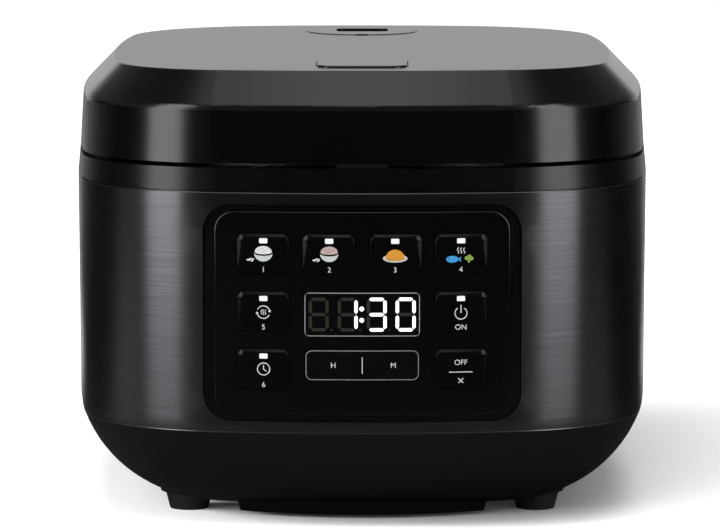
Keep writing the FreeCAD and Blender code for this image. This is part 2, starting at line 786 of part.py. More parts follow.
def build_rim():
    """The moulded upper rim with its sunken deck, hinge shelf, hook slot and steel strike."""
    body = new_body("upper_rim")
    pad(body, outline(body, "2.2", f"{DECK_TOP} - 1"), "deck_drop + 1")
    shelf = new_sketch(body, "XY", f"{RIM_TOP} + 5")
    half = "hinge_block_half + 6"
    front = f"{HINGE_Y} - hinge_block_radius - 6"
    polygon(shelf, [
        ("-600", "-600"), ("600", "-600"), ("600", "600"), (half, "600"),
        (half, front), (f"-({half})", front), (f"-({half})", "600"), ("-600", "600"),
    ])
    pocket(body, shelf, "30")
    step = "sleeve_sheet + fixed_gap + 0.1"
    sweep(body, [
        ("0.2", RIM_LOW),
        (step, RIM_LOW),
        (step, f"{RIM_LOW} - 4.4"),
        (f"{step} + rim_wall", f"{RIM_LOW} - 4.4"),
        (f"{step} + rim_wall", DECK_LOW),
        ("9", DECK_LOW),
        ("9", DECK_TOP),
        ("0.2 + rim_draft + rim_land", DECK_TOP),
        ("0.2 + rim_draft + rim_land", RIM_TOP),
        ("0.2 + rim_draft", RIM_TOP),
    ])
    pad(body, outline(body, "8", DECK_LOW), "deck_thickness")
    mouth = new_sketch(body, "XY", f"{RIM_TOP} + 1")
    circle(mouth, "0", "0", f"{LINER_RADIUS} + 0.4")
    pocket(body, mouth, "30")
    slot = new_sketch(body, "XY", f"{RIM_TOP} + 1")
    rectangle(slot, "-hook_half_width - 1.5", f"{HOOK_Y} - 8", "hook_half_width + 1.5", f"{HOOK_Y} + 6")
    pocket(body, slot, "30")
    seat = new_sketch(body, "XY", f"{RIM_TOP} + 1")
    rectangle(seat, "-hook_half_width - 6.7", "strike_inset - half_depth - 0.1",
              "hook_half_width + 6.7", "strike_inset - half_depth + 16.2")
    pocket(body, seat, "deck_drop + 1 + strike_thickness")
    holes = new_sketch(body, "XY", f"{RIM_TOP} + 1")
    for across in HINGE_SCREWS:
        circle(holes, across, HINGE_SCREW_Y, "screw_radius + screw_gap")
    pocket(body, holes, "30")
    node("upper_rim", body)
    strike = box(("-hook_half_width - 6.5", "strike_inset - half_depth", f"{DECK_TOP} - strike_thickness"),
                 ("hook_half_width + 6.5", "strike_inset - half_depth + 16", DECK_TOP))
    node("strike_plate", strike)


def build_hinge():
    """The hinge block on the rim, its pin, its torsion spring and its screws."""
    body = new_body("hinge_housing")
    section = new_sketch(body, "YZ")
    front = f"{HINGE_Y} - hinge_block_radius"
    back = f"{HINGE_Y} + hinge_block_radius"
    polygon(section, [
        (front, RIM_TOP),
        (back, RIM_TOP),
        (back, HINGE_Z, "hinge_block_radius", 1),
        (HINGE_Y, f"{HINGE_Z} + hinge_block_radius", "hinge_block_radius", 1),
        (front, HINGE_Z),
    ])
    pad(body, section, "2 * hinge_block_half", both=True)
    plan = new_body("hinge_plan")
    pad(plan, outline(plan, "0.2 + rim_draft + 0.5", f"{RIM_TOP} - 1"), "40")
    trimmed = shared(body, plan)
    hollow = "spring_coil + spring_wire + 2"
    half = "20"
    pin_bore = rod(("-100", HINGE_Y, HINGE_Z), "200", "hinge_pin_radius + running_gap", "x")
    cavity = rod((f"-{half}", HINGE_Y, HINGE_Z), f"2 * {half}", hollow, "x")
    leg_slot = box((f"-{half}", f"{front} - 5", f"{HINGE_Z} - spring_coil - 2"),
                   ("-14", HINGE_Y, f"{HINGE_Z} - spring_coil + 2"))
    bores = [rod((across, HINGE_SCREW_Y, f"{RIM_TOP} - 2"), "8", "screw_radius + screw_gap")
             for across in HINGE_SCREWS]
    node("hinge_housing", cut(trimmed, [pin_bore, cavity, leg_slot] + bores))
    length = "hinge_notch_half - 2.5"
    pin_rod = rod((f"-({length})", HINGE_Y, HINGE_Z), f"2 * ({length})", "hinge_pin_radius", "x")
    node("hinge_pin", pin_rod)
    winding = coil(("-17", HINGE_Y, HINGE_Z), "spring_coil", "spring_wire", "34", "12", "x")
    low = f"{HINGE_Z} - spring_coil"
    front_leg = rod(("-17", f"{HINGE_Y} - hinge_block_radius - 0.8", low),
                    "hinge_block_radius + 0.8", "spring_wire / 2", "y")
    back_leg = rod(("17", HINGE_Y, low), "spring_coil + 1.2", "spring_wire / 2", "y")
    node("hinge_spring", joined([winding, front_leg, back_leg]))
    screws = []
    for across in HINGE_SCREWS:
        head = rod((across, HINGE_SCREW_Y, f"{DECK_LOW} - 1.8"), "1.8", "3")
        shank = rod((across, HINGE_SCREW_Y, f"{DECK_LOW} - 0.5"), f"{RIM_TOP} - {DECK_LOW} + 6",
                    "screw_radius")
        screws.append(joined([head, shank]))
    node("hinge_screws", group(screws))


def build_chamber():
    """The liner, the cast heating plate with its element, the warming band and the cooking pot."""
    body = new_body("inner_liner")
    section = new_sketch(body, "XZ")
    inner = f"{LINER_RADIUS} - liner_sheet"
    hole = "bracket_radius + 0.4"
    polygon(section, [
        (hole, "liner_floor_z"),
        (LINER_RADIUS, "liner_floor_z"),
        (LINER_RADIUS, DECK_TOP),
        (f"{LINER_RADIUS} + liner_flange", DECK_TOP),
        (f"{LINER_RADIUS} + liner_flange", LINER_TOP),
        (inner, LINER_TOP),
        (inner, "liner_floor_z + liner_sheet"),
        (hole, "liner_floor_z + liner_sheet"),
    ])
    spin(body, section)
    holes = new_sketch(body, "XY", "liner_floor_z + liner_sheet")
    for across, up in LINER_BOSSES:
        circle(holes, across, up, "screw_radius + screw_gap")
    for across, up in ELEMENT_PINS:
        circle(holes, across, up, "element_pin_radius + 2.5")
    pocket(body, holes, "liner_sheet + 1")
    node("inner_liner", body)
    screws = []
    for across, up in LINER_BOSSES:
        head = rod((across, up, "liner_floor_z + liner_sheet"), "2.2", "3.4")
        shank = rod((across, up, "liner_floor_z - 13"), "13 + liner_sheet + 1", "screw_radius")
        screws.append(joined([head, shank]))
    node("liner_screws", group(screws))

    plate = new_body("heater_plate")
    section = new_sketch(plate, "XZ")
    groove = "(element_radius + 0.3)"
    polygon(section, [
        (HEATER_HOLE, HEATER_LOW),
        (f"element_ring - {groove}", HEATER_LOW),
        (f"element_ring - {groove}", f"{HEATER_LOW} + 2 * ({groove}) + 0.2"),
        (f"element_ring + {groove}", f"{HEATER_LOW} + 2 * ({groove}) + 0.2"),
        (f"element_ring + {groove}", HEATER_LOW),
        (f"{HEATER_RADIUS} - 4", HEATER_LOW),
        (HEATER_RADIUS, f"{HEATER_LOW} + 3"),
        (HEATER_RADIUS, f"{HEATER_TOP} - 1.5"),
        (f"{HEATER_RADIUS} - 1.5", HEATER_TOP),
        (f"{HEATER_HOLE} + 1", HEATER_TOP),
        (HEATER_HOLE, f"{HEATER_TOP} - 1"),
    ])
    spin(plate, section)
    lifts = new_sketch(plate, "XY", f"{HEATER_LOW} + 0.5")
    for across, up in (("72", "0"), ("-36", "62.35"), ("-36", "-62.35")):
        circle(lifts, across, up, "5")
    pad(plate, lifts, "heater_lift + 0.5", down=True)
    node("heater_plate", plate)
    ring = doc.addObject("Part::Torus", "element_loop")
    bind(ring, "Radius1", "element_ring")
    bind(ring, "Radius2", "element_radius")
    bind(ring, "Placement.Base.z", f"{HEATER_LOW} + {groove}")
    tails = [rod((across, up, "liner_floor_z - 9"), f"{HEATER_LOW} - liner_floor_z + 9 + {groove}",
                 "element_pin_radius") for across, up in ELEMENT_PINS]
    node("heater_element", joined([ring] + tails))
    outer = rod(("0", "0", "band_heater_low_z"), "band_heater_height",
                f"{LINER_RADIUS} + 0.15 + band_heater_thickness")
    inner_rod = rod(("0", "0", "band_heater_low_z - 1"), "band_heater_height + 2", f"{LINER_RADIUS} + 0.15")
    node("warming_band", cut(outer, [inner_rod]))

    pot = new_body("inner_pot")
    section = new_sketch(pot, "XZ")
    low = f"{POT_LOW} + pot_corner"
    flange_low = f"{POT_TOP} - pot_flange_thickness"
    polygon(section, [
        ("0", POT_LOW),
        (f"{POT_RADIUS} - pot_corner", POT_LOW, "pot_corner", 1),
        (POT_RADIUS, low),
        (POT_RADIUS, flange_low),
        (f"{POT_RADIUS} + pot_flange", flange_low),
        (f"{POT_RADIUS} + pot_flange", POT_TOP),
        (f"{POT_RADIUS} - pot_wall + 2", POT_TOP, "2", 1),
        (f"{POT_RADIUS} - pot_wall", f"{POT_TOP} - 2"),
        (f"{POT_RADIUS} - pot_wall", low, "pot_corner - pot_wall", -1),
        (f"{POT_RADIUS} - pot_corner", f"{POT_LOW} + pot_wall"),
        ("0", f"{POT_LOW} + pot_wall"),
    ])
    spin(pot, section)
    node("inner_pot", pot)


def build_sensor():
    """The spring-loaded temperature sensor, its bracket and the safety fuse."""
    bracket = new_body("sensor_bracket")
    section = new_sketch(bracket, "XZ")
    low = "(liner_floor_z - bracket_depth)"
    polygon(section, [
        ("sensor_stem_radius + running_gap", low),
        ("bracket_radius", low),
        ("bracket_radius", "liner_floor_z - bracket_sheet"),
        ("bracket_radius + 12", "liner_floor_z - bracket_sheet"),
        ("bracket_radius + 12", "liner_floor_z"),
        ("bracket_radius - bracket_sheet", "liner_floor_z"),
        ("bracket_radius - bracket_sheet", f"{low} + bracket_sheet"),
        ("sensor_stem_radius + running_gap", f"{low} + bracket_sheet"),
    ])
    spin(bracket, section)
    node("sensor_bracket", bracket)
    head = new_body("temperature_sensor")
    section = new_sketch(head, "XZ")
    top = f"{HEATER_TOP} + 0.05"
    polygon(section, [
        ("0", f"{low} - 4"),
        ("sensor_stem_radius", f"{low} - 4"),
        ("sensor_stem_radius", f"{HEATER_LOW} + 3.3"),
        ("sensor_radius", f"{HEATER_LOW} + 3.3"),
        ("sensor_radius", f"{top} - 1.2"),
        ("sensor_radius - 1.2", top),
        ("0", top),
    ])
    spin(head, section)
    node("temperature_sensor", head)
    ring = rod(("0", "0", f"{low} - 1.4"), "1.2", "sensor_stem_radius + 3")
    bore = rod(("0", "0", f"{low} - 2"), "3", "sensor_stem_radius + 0.02")
    node("sensor_clip", cut(ring, [bore]))
    node("sensor_spring", coil(("0", "0", f"{low} + bracket_sheet + 0.8"), "8.5", "1.2",
                               f"{HEATER_LOW} + 1.6 - {low} - bracket_sheet", "6"))
    fuse = rod(("48", "-fuse_length / 2", "liner_floor_z - fuse_radius - 0.1"), "fuse_length",
               "fuse_radius", "y")
    node("thermal_fuse", fuse)


def build_lid():
    """The hollow lid cover, its lining frame and the screws that hold them together."""
    outer = new_body("lid_outer")
    wall_top = "lid_inset + lid_draft"
    sweep(outer, [
        ("lid_inset", LID_LOW),
        ("45", LID_LOW),
        ("45", LID_TOP),
        (f"{wall_top} + chamfer_width", LID_TOP),
        (wall_top, LID_EDGE),
    ])
    pad(outer, outline(outer, "44", LID_LOW), f"{LID_TOP} - {LID_LOW}")
    soften(outer, "Fillet", "lid_edge_round", at_level(LID_EDGE))
    soften(outer, "Fillet", "lid_top_round", at_level(LID_TOP))
    inner = new_body("lid_inner")
    sweep(inner, [
        ("lid_inset + lid_wall", f"{LID_LOW} - 1"),
        ("45", f"{LID_LOW} - 1"),
        ("45", LID_CEILING),
        (f"{wall_top} + chamfer_width + lid_wall * 0.4", LID_CEILING),
        (f"{wall_top} + lid_wall", f"{LID_EDGE} - lid_wall * 0.37"),
    ])
    pad(inner, outline(inner, "44", f"{LID_LOW} - 1"), f"{LID_CEILING} - {LID_LOW} + 1")
    notch = "hinge_block_radius + hinge_notch_gap"
    wall = "(lid_wall - 0.3)"
    notch_keep = box((f"-hinge_notch_half - {wall}", f"{HINGE_Y} - ({notch}) - ({wall})", f"{LID_LOW} - 5"),
                     (f"hinge_notch_half + {wall}", "half_depth + 20", f"{HINGE_Z} + {notch} + {wall}"))
    well_keep = rod(("0", STEAM_Y, f"{WELL_LOW} - 2"), "60", "steam_cap_radius + 2.8")
    post_keep = [rod((across, up, f"{FRAME_TOP} + 0.2"), "60", "4.5") for across, up in LID_POSTS]
    hollow = cut(inner, [notch_keep, well_keep] + post_keep)
    button = new_body("button_aperture")
    plan = new_sketch(button, "XY", f"{LID_TOP} - 10")
    rounded(plan, "0", BUTTON_Y, f"{BUTTON_WIDTH} + 2 * button_gap", f"{BUTTON_LENGTH} + 2 * button_gap",
            "button_corner + button_gap")
    pad(button, plan, "20")
    notch_cut = box(("-hinge_notch_half", f"{HINGE_Y} - ({notch})", f"{LID_LOW} - 5"),
                    ("hinge_notch_half", "half_depth + 20", f"{HINGE_Z} + {notch}"))
    ear_slots = ((f"{EAR_IN} - 0.5", f"{EAR_OUT} + 0.5"),
                 (f"-({EAR_OUT}) - 0.5", f"-({EAR_IN}) + 0.5"))
    ears = [box((left, f"{HINGE_Y} - ({notch}) - lid_wall - 1", f"{LID_LOW} - 5"),
                (right, HINGE_Y, f"{HINGE_Z} + hinge_ear_radius + 1"))
            for left, right in ear_slots]
    well_bore = rod(("0", STEAM_Y, WELL_LOW), "60", "steam_cap_radius + 0.4")
    duct_hole = rod(("0", DUCT_Y, f"{WELL_LOW} - 10"), "20", "duct_radius - duct_wall")
    bores = [rod((across, up, FRAME_TOP), "14", "screw_radius + screw_gap") for across, up in LID_POSTS]
    shell = cut(outer, [hollow])
    node("lid_cover", cut(shell, [button, notch_cut, well_bore, duct_hole] + ears + bores))

    frame = new_body("lid_frame")
    pad(frame, outline(frame, "lid_inset + lid_wall + frame_gap", FRAME_LOW), "frame_thickness")
    notch_plan = new_sketch(frame, "XY", f"{FRAME_TOP} + 5")
    rectangle(notch_plan, f"-hinge_notch_half - {wall} - frame_gap",
              f"{HINGE_Y} - ({notch}) - ({wall}) - frame_gap",
              f"hinge_notch_half + {wall} + frame_gap", "half_depth + 20")
    pocket(frame, notch_plan, "30")
    ear_plan = [
        (f"{HINGE_Y} - 26", FRAME_LOW),
        (HINGE_Y, f"{HINGE_Z} - hinge_ear_radius", "hinge_ear_radius", 1),
        (f"{HINGE_Y} + hinge_ear_radius", HINGE_Z, "hinge_ear_radius", 1),
        (HINGE_Y, f"{HINGE_Z} + hinge_ear_radius"),
        (f"{HINGE_Y} - 26", FRAME_TOP),
    ]
    for start in (EAR_IN, f"-({EAR_OUT})"):
        ear = new_sketch(frame, "YZ", start)
        polygon(ear, ear_plan)
        pad(frame, ear, "hinge_ear_width")
    pin_bore = new_sketch(frame, "YZ")
    circle(pin_bore, HINGE_Y, HINGE_Z, "hinge_pin_radius + running_gap")
    pocket(frame, pin_bore, "400", both=True)
    for start in ("hook_half_width + 0.6", "-hook_half_width - 4.6"):
        cheek = new_sketch(frame, "YZ", start)
        polygon(cheek, [
            (f"{HOOK_Y} - 6", f"{FRAME_LOW} + 0.5"),
            (f"{HOOK_Y} + 9", f"{FRAME_LOW} + 0.5"),
            (f"{HOOK_Y} + 4.5", f"{HOOK_Z} + 4.5"),
            (f"{HOOK_Y} - 4.5", f"{HOOK_Z} + 4.5"),
        ])
        pad(frame, cheek, "4")
    axle = new_sketch(frame, "YZ")
    circle(axle, HOOK_Y, HOOK_Z, "hook_pin_radius + running_gap")
    pocket(frame, axle, "60", both=True)
    holes = new_sketch(frame, "XY", f"{FRAME_TOP} + 5")
    rectangle(holes, "-hook_half_width - 0.5", f"{HOOK_Y} - 8", "hook_half_width + 0.5", f"{HOOK_Y} + 6.5")
    circle(holes, "0", DUCT_Y, "duct_radius + 0.3")
    circle(holes, "0", "0", "4.2")
    for across, up in LID_POSTS:
        circle(holes, across, up, "screw_radius + screw_gap")
    pocket(frame, holes, "30")
    node("lid_frame", frame)
    screws = []
    for across, up in LID_POSTS:
        head = rod((across, up, f"{FRAME_LOW} - 1.9"), "1.9", "3.4")
        shank = rod((across, up, f"{FRAME_LOW} - 0.5"), "14", "screw_radius")
        screws.append(joined([head, shank]))
    node("lid_screws", group(screws))


def build_lid_lining():
    """The removable inner lid, its gasket and knob, and the silicone steam duct."""
    body = new_body("inner_lid")
    section = new_sketch(body, "XZ")
    top = f"{FRAME_LOW} - 0.4"
    low = f"{top} - inner_lid_thickness"
    radius = f"{POT_RADIUS} + 1"
    polygon(section, [("4.2", low), (radius, low), (radius, top), ("4.2", top)])
    spin(body, section)
    vent = new_sketch(body, "XY", top)
    circle(vent, "0", DUCT_Y, "duct_radius - duct_wall - 1.5")
    pocket(body, vent, "20")
    node("inner_lid", body)
    seal = new_body("lid_gasket")
    section = new_sketch(seal, "XZ")
    seal_in = f"{POT_RADIUS} + pot_flange - 2 - gasket_width"
    seal_out = f"{POT_RADIUS} + pot_flange - 2"
    polygon(section, [
        (seal_in, f"{low} - 0.1"),
        (f"{radius} + 0.15", f"{low} - 0.1"),
        (f"{radius} + 0.15", f"{top} + 0.2"),
        (seal_out, f"{top} + 0.2"),
        (seal_out, f"{low} - 0.4"),
        (f"{seal_out} - 1.5", f"{POT_TOP} + contact_gap"),
        (f"{seal_out} - 5", f"{POT_TOP} + contact_gap"),
        (seal_in, f"{low} - 0.9"),
    ])
    spin(seal, section)
    node("lid_gasket", seal)
    knob = new_body("inner_lid_knob")
    section = new_sketch(knob, "XZ")
    polygon(section, [
        ("0", f"{low} - 3"),
        ("knob_radius - 1", f"{low} - 3"),
        ("knob_radius", f"{low} - 0.2"),
        ("4", f"{low} - 0.2"),
        ("4", f"{FRAME_TOP} + 0.3"),
        ("6.5", f"{FRAME_TOP} + 0.3"),
        ("3", f"{FRAME_TOP} + 4"),
        ("0", f"{FRAME_TOP} + 4"),
    ])
    spin(knob, section)
    node("inner_lid_knob", knob)
    high = f"{WELL_LOW} - 2.1"
    wall = rod(("0", DUCT_Y, f"{FRAME_LOW} - 0.2"), f"{high} - {FRAME_LOW} + 0.2", "duct_radius")
    brim = rod(("0", DUCT_Y, f"{high} - 2"), "2", "duct_radius + 2.5")
    bore = rod(("0", DUCT_Y, f"{FRAME_LOW} - 3"), "60", "duct_radius - duct_wall")
    node("steam_duct", cut(joined([wall, brim]), [bore]))


def build_steam_cap():
    """The lift-out steam vent: a slotted cap over a drip tray."""
    body = new_body("steam_cap")
    high = f"{LID_TOP} + steam_cap_rise"
    disc = new_sketch(body, "XY", f"{WELL_LOW} + 7")
    circle(disc, "0", STEAM_Y, "steam_cap_radius")
    pad(body, disc, f"{high} - {WELL_LOW} - 7")
    hollow = new_sketch(body, "XY", f"{high} - 2.4")
    circle(hollow, "0", STEAM_Y, "steam_cap_radius - 2")
    pocket(body, hollow, "30")
    slot = new_sketch(body, "XY", f"{high} + 1")
    rounded(slot, "0", f"{STEAM_Y} + 6", "steam_slot_width", "steam_slot_depth", "4")
    pocket(body, slot, "10")
    soften(body, "Fillet", "0.6", at_level(high))
    notch = new_sketch(body, "XY", f"{high} + 1")
    rounded(notch, "0", f"{STEAM_Y} - steam_cap_radius", "7", "7", "3")
    pocket(body, notch, "2.2")
    node("steam_cap", body)
    tray = new_body("steam_tray")
    outer = "steam_cap_radius - 2.4"
    low = f"({WELL_LOW} + 0.3)"
    cup = new_sketch(tray, "XY", low)
    circle(cup, "0", STEAM_Y, outer)
    pad(tray, cup, f"{high} - 2.6 - {low}")
    inside = new_sketch(tray, "XY", f"{high} - 2")
    circle(inside, "0", STEAM_Y, f"{outer} - 1.4")
    pocket(tray, inside, f"{high} - 2 - {low} - 1.5")
    chimney = new_sketch(tray, "XY", f"{low} + 1")
    circle(chimney, "0", DUCT_Y, "8.5")
    pad(tray, chimney, "4")
    inlet = new_sketch(tray, "XY", f"{low} + 6")
    circle(inlet, "0", DUCT_Y, "7")
    pocket(tray, inlet, "20")
    node("steam_tray", tray)


def build_latch():
    """The push button, the hook that it turns, and the hook's pin and spring."""
    body = new_body("open_button")
    top = f"{LID_TOP} + button_rise"
    skirt = f"{LID_CEILING} - 0.3"
    plan = new_sketch(body, "XY", skirt)
    rounded(plan, "0", BUTTON_Y, BUTTON_WIDTH, BUTTON_LENGTH, "button_corner")
    pad(body, plan, f"{top} - ({skirt})")
    soften(body, "Fillet", "0.9", at_level(top))
    lip = new_sketch(body, "XY", skirt)
    rounded(lip, "0", BUTTON_Y, f"{BUTTON_WIDTH} + 4", f"{BUTTON_LENGTH} + 4", "button_corner + 2")
    pad(body, lip, "2", down=True)
    hollow = new_sketch(body, "XY", f"{top} - button_wall")
    rounded(hollow, "0", BUTTON_Y, f"{BUTTON_WIDTH} - 2 * button_wall", f"{BUTTON_LENGTH} - 2 * button_wall",
            "button_corner - button_wall")
    pocket(body, hollow, "30")
    plunger = new_sketch(body, "XY", f"{HOOK_Z} + 3.3")
    rectangle(plunger, "-8", PLUNGER_FRONT, "8", f"{PLUNGER_FRONT} + 3")
    pad(body, plunger, f"{top} - button_wall / 2 - {HOOK_Z} - 3.3")
    node("open_button", body)

    hook = new_body("latch_hook")
    section = new_sketch(hook, "YZ")
    polygon(section, [
        (f"{HOOK_Y} - 3.5", f"{HOOK_Z} + 3"),
        (f"{HOOK_Y} - 3.5", f"{HOOK_Z} - hook_drop"),
        (f"{HOOK_Y} + 3", f"{HOOK_Z} - hook_drop"),
        (f"{HOOK_Y} + 1.5 + hook_barb", f"{HOOK_Z} - hook_drop + 3"),
        (f"{HOOK_Y} + 1.5", f"{HOOK_Z} - hook_drop + 3"),
        (f"{HOOK_Y} + 1.5", f"{HOOK_Z} - 5.5"),
        (f"{HOOK_Y} + 5", f"{HOOK_Z} - 2.5"),
        (f"{HOOK_Y} + hook_reach", f"{HOOK_Z} - 1.5"),
        (f"{HOOK_Y} + hook_reach", f"{HOOK_Z} + 3"),
    ])
    pad(hook, section, "2 * hook_half_width", both=True)
    axle = new_sketch(hook, "YZ")
    circle(axle, HOOK_Y, HOOK_Z, "hook_pin_radius + running_gap")
    pocket(hook, axle, "60", both=True)
    node("latch_hook", hook)
    pin_half = "hook_half_width + 4.5"
    node("hook_pin", rod((f"-({pin_half})", HOOK_Y, HOOK_Z), f"2 * ({pin_half})", "hook_pin_radius", "x"))
    node("hook_spring", coil(("0", f"{HOOK_Y} + 20", f"{FRAME_TOP} + 0.6"), "4", "0.9",
                             f"{HOOK_Z} - 2.0 - {FRAME_TOP} - 1.2", "5"))


def curved_front(body, rise):
    """Trim a block to the bulged front of the body, raised or sunk by an amount."""
    section = new_sketch(body, "YZ", "0", BULGE_Y)
    front = f"-(front_bulge + ({rise}))"
    rectangle(section, f"{front} - 60", "-100", front, "400")
    spin(body, section, "Groove")


def on_curve(rise):
    """Return a test for edges that lie on the bulged front at a given rise."""
    radius = number(f"front_bulge + ({rise})")
    middle = number(BULGE_Y)

    def test(edge):
        spots = [edge.valueAt(edge.FirstParameter), edge.valueAt(edge.LastParameter)]
        spots.append(edge.valueAt((edge.FirstParameter + edge.LastParameter) / 2))
        return all(abs(math.hypot(spot.x, spot.y - middle) - radius) < 0.02 for spot in spots)
    return test


def build_panel():
    """The bezel, the control plate, its keys, its rocker and its display window."""
    bezel = new_body("panel_bezel")
    back = new_sketch(bezel, "XZ", BOARD_FRONT)
    rounded(back, "0", BEZEL_Z, f"{BEZEL_WIDTH} + 2 * bezel_flange", f"{BEZEL_HEIGHT} + 2.4",
            "bezel_corner")
    pad(bezel, back, "30")
    curved_front(bezel, f"-{FLANGE_SINK}")
    front = new_sketch(bezel, "XZ", BOARD_FRONT)
    rounded(front, "0", BEZEL_Z, f"{BEZEL_WIDTH} - 2 * fixed_gap", f"{BEZEL_HEIGHT} - 2 * fixed_gap",
            "bezel_corner - fixed_gap")
    pad(bezel, front, "30")
    curved_front(bezel, "-bezel_sink")
    posts = new_sketch(bezel, "XZ", f"{BOARD_FRONT} + 1")
    for across, up in CARRIER_SCREWS:
        circle(posts, across, up, "3.2")
    pad(bezel, posts, "4.5", down=True)
    inside = new_sketch(bezel, "XZ", "half_depth + 20")
    rounded(inside, "0", "panel_centre_z", "panel_width + 2 * fixed_gap", "panel_height + 2 * fixed_gap",
            "panel_corner + fixed_gap")
    pocket(bezel, inside, "60")
    bores = new_sketch(bezel, "XZ", f"{BOARD_FRONT} + 2.5")
    for across, up in CARRIER_SCREWS:
        circle(bores, across, up, "1.2 + screw_gap")
    pocket(bezel, bores, "20")
    node("panel_bezel", bezel)

    plate = new_body("panel_plate")
    back = new_sketch(plate, "XZ", PANEL_BACK)
    rounded(back, "0", "panel_centre_z", "panel_width", "panel_height", "panel_corner")
    pad(plate, back, "30")
    curved_front(plate, "panel_rise")
    soften(plate, "Fillet", "panel_edge_round", on_curve("panel_rise"))
    for level in ("rocker_centre_z + rocker_height / 2 + key_gap + 0.5",
                  "rocker_centre_z - rocker_height / 2 - key_gap - 2.5"):
        lug = new_sketch(plate, "XY", level)
        rectangle(lug, "-3", f"-{PANEL_BACK} - 1", "3", f"-{PANEL_BACK} + 3.6")
        pad(plate, lug, "2")
    key_hole = ("key_width + 2 * key_gap", "key_height + 2 * key_gap", "key_corner + key_gap")
    holes = [(f"({across})", f"({up})") + key_hole for across, up in KEYS.values()]
    holes.append(("0", "window_centre_z", "window_width + 0.3", "window_height + 0.3",
                  "window_corner + 0.15"))
    holes.append(("0", "rocker_centre_z", "rocker_width + 2 * rocker_end_gap", "rocker_height + 2 * key_gap",
                  "key_corner + key_gap"))
    for hole in holes:
        sketch = new_sketch(plate, "XZ", "half_depth + 20")
        rounded(sketch, *hole)
        pocket(plate, sketch, f"half_depth + 20 - {PANEL_BACK} + 0.01")
    pivot = new_sketch(plate, "XY", "rocker_centre_z")
    circle(pivot, "0", ROCKER_PIN_Y, "rocker_pin_radius + running_gap")
    pocket(plate, pivot, "30", both=True)
    node("panel_plate", plate)

    for name, (across, up) in KEYS.items():
        key = new_body(name)
        face = new_sketch(key, "XZ", KEY_BACK)
        rounded(face, f"({across})", f"({up})", "key_width", "key_height", "key_corner")
        pad(key, face, "30")
        curved_front(key, "key_rise")
        soften(key, "Chamfer", "key_bevel", on_curve("key_rise"))
        lip = new_sketch(key, "XZ", KEY_BACK)
        rounded(lip, f"({across})", f"({up})", "key_width + 2 * key_lip", "key_height + 2 * key_lip",
                "key_corner + key_lip")
        pad(key, lip, "1.2")
        node(name, key)

    rocker = new_body("time_rocker")
    face = new_sketch(rocker, "XZ", f"{PANEL_BACK} - 0.9")
    rounded(face, "0", "rocker_centre_z", "rocker_width", "rocker_height", "key_corner")
    pad(rocker, face, "30")
    curved_front(rocker, "panel_rise + 0.2")
    soften(rocker, "Chamfer", "0.4", on_curve("panel_rise + 0.2"))
    axle = new_sketch(rocker, "XY", "rocker_centre_z")
    circle(axle, "0", ROCKER_PIN_Y, "rocker_pin_radius")
    pad(rocker, axle, "rocker_height + 2 * key_gap + 4.4", both=True)
    node("time_rocker", rocker)

    window = new_body("display_window")
    face = new_sketch(window, "XZ", f"{PANEL_BACK} - 1.4")
    rounded(face, "0", "window_centre_z", "window_width", "window_height", "window_corner")
    pad(window, face, "30")
    curved_front(window, "panel_rise - 0.1")
    brim = new_sketch(window, "XZ", f"{PANEL_BACK} - 1.4")
    rounded(brim, "0", "window_centre_z", "window_width + 3", "window_height + 3", "window_corner + 1.5")
    pad(window, brim, "1.3")
    node("display_window", window)


def build_control_board():
    """The control board behind the panel with its carrier, switches, lamps and display."""
    rear = f"({BOARD_FRONT} - board_thickness)"
    half = "(panel_width / 2 - 2.5)"
    low = "(panel_centre_z - panel_height / 2 + 2.2)"
    high = "(panel_centre_z + panel_height / 2 - 2.2)"
    board = box((f"-{half}", f"-{BOARD_FRONT}", low), (half, f"-{rear}", high))
    node("control_board", board)
    spots = [(f"({across})", f"({up})") for across, up in KEYS.values()]
    spots += [("18", "rocker_centre_z"), ("-18", "rocker_centre_z")]
    switches = []
    for across, up in spots:
        can = box((f"{across} - 3", f"-{BOARD_FRONT} - 3.3", f"{up} - 3"),
                  (f"{across} + 3", f"-{BOARD_FRONT}", f"{up} + 3"))
        stem = rod((across, f"-{SWITCH_TOP}", up), f"{SWITCH_TOP} - {BOARD_FRONT} - 1", "1.7", "y")
        switches.append(joined([can, stem]))
    node("tact_switches", group(switches))
    lamps = [box((f"{across} - 1.5", f"-{BOARD_FRONT} - 1.2", f"{up} + 5"),
                 (f"{across} + 1.5", f"-{BOARD_FRONT}", f"{up} + 7")) for across, up in spots[:7]]
    node("indicator_lamps", group(lamps))
    module_half = "(window_height / 2 - 0.8)"
    module = box(("-window_width / 2 + 1.5", f"-{PANEL_BACK} + 1.6", f"window_centre_z - {module_half}"),
                 ("window_width / 2 - 1.5", f"-{BOARD_FRONT}", f"window_centre_z + {module_half}"))
    node("display_module", module)
    front = f"({BOARD_FRONT} - 3.5)"
    back = f"({BOARD_FRONT} - 5.5)"
    edge = "(panel_width / 2 + 9)"
    sheet_plate = box((f"-{edge}", f"-{front}", f"{low} - 4"), (edge, f"-{back}", f"{high} + 4"))
    posts = [rod((f"{x} * ({half} - 5)", f"-{rear}", level), f"{rear} - {front} + 0.5", "2.5", "y")
             for x in ("1", "-1") for level in (f"{low} + 4", f"{high} - 4")]
    bores = [rod((across, f"-{front} - 1", up), "4", "1.2 + screw_gap", "y")
             for across, up in CARRIER_SCREWS]
    window = box(("-40", f"-{front} - 1", "panel_centre_z - 25"),
                 ("40", f"-{back} + 1", "panel_centre_z + 25"))
    node("board_carrier", cut(joined([sheet_plate] + posts), bores + [window]))
    screws = []
    for across, up in CARRIER_SCREWS:
        head = rod((across, f"-{back}", up), "1.8", "2.7", "y")
        shank = rod((across, f"-{back} - 8", up), "8.5", "1.2", "y")
        screws.append(joined([head, shank]))
    node("carrier_screws", group(screws))


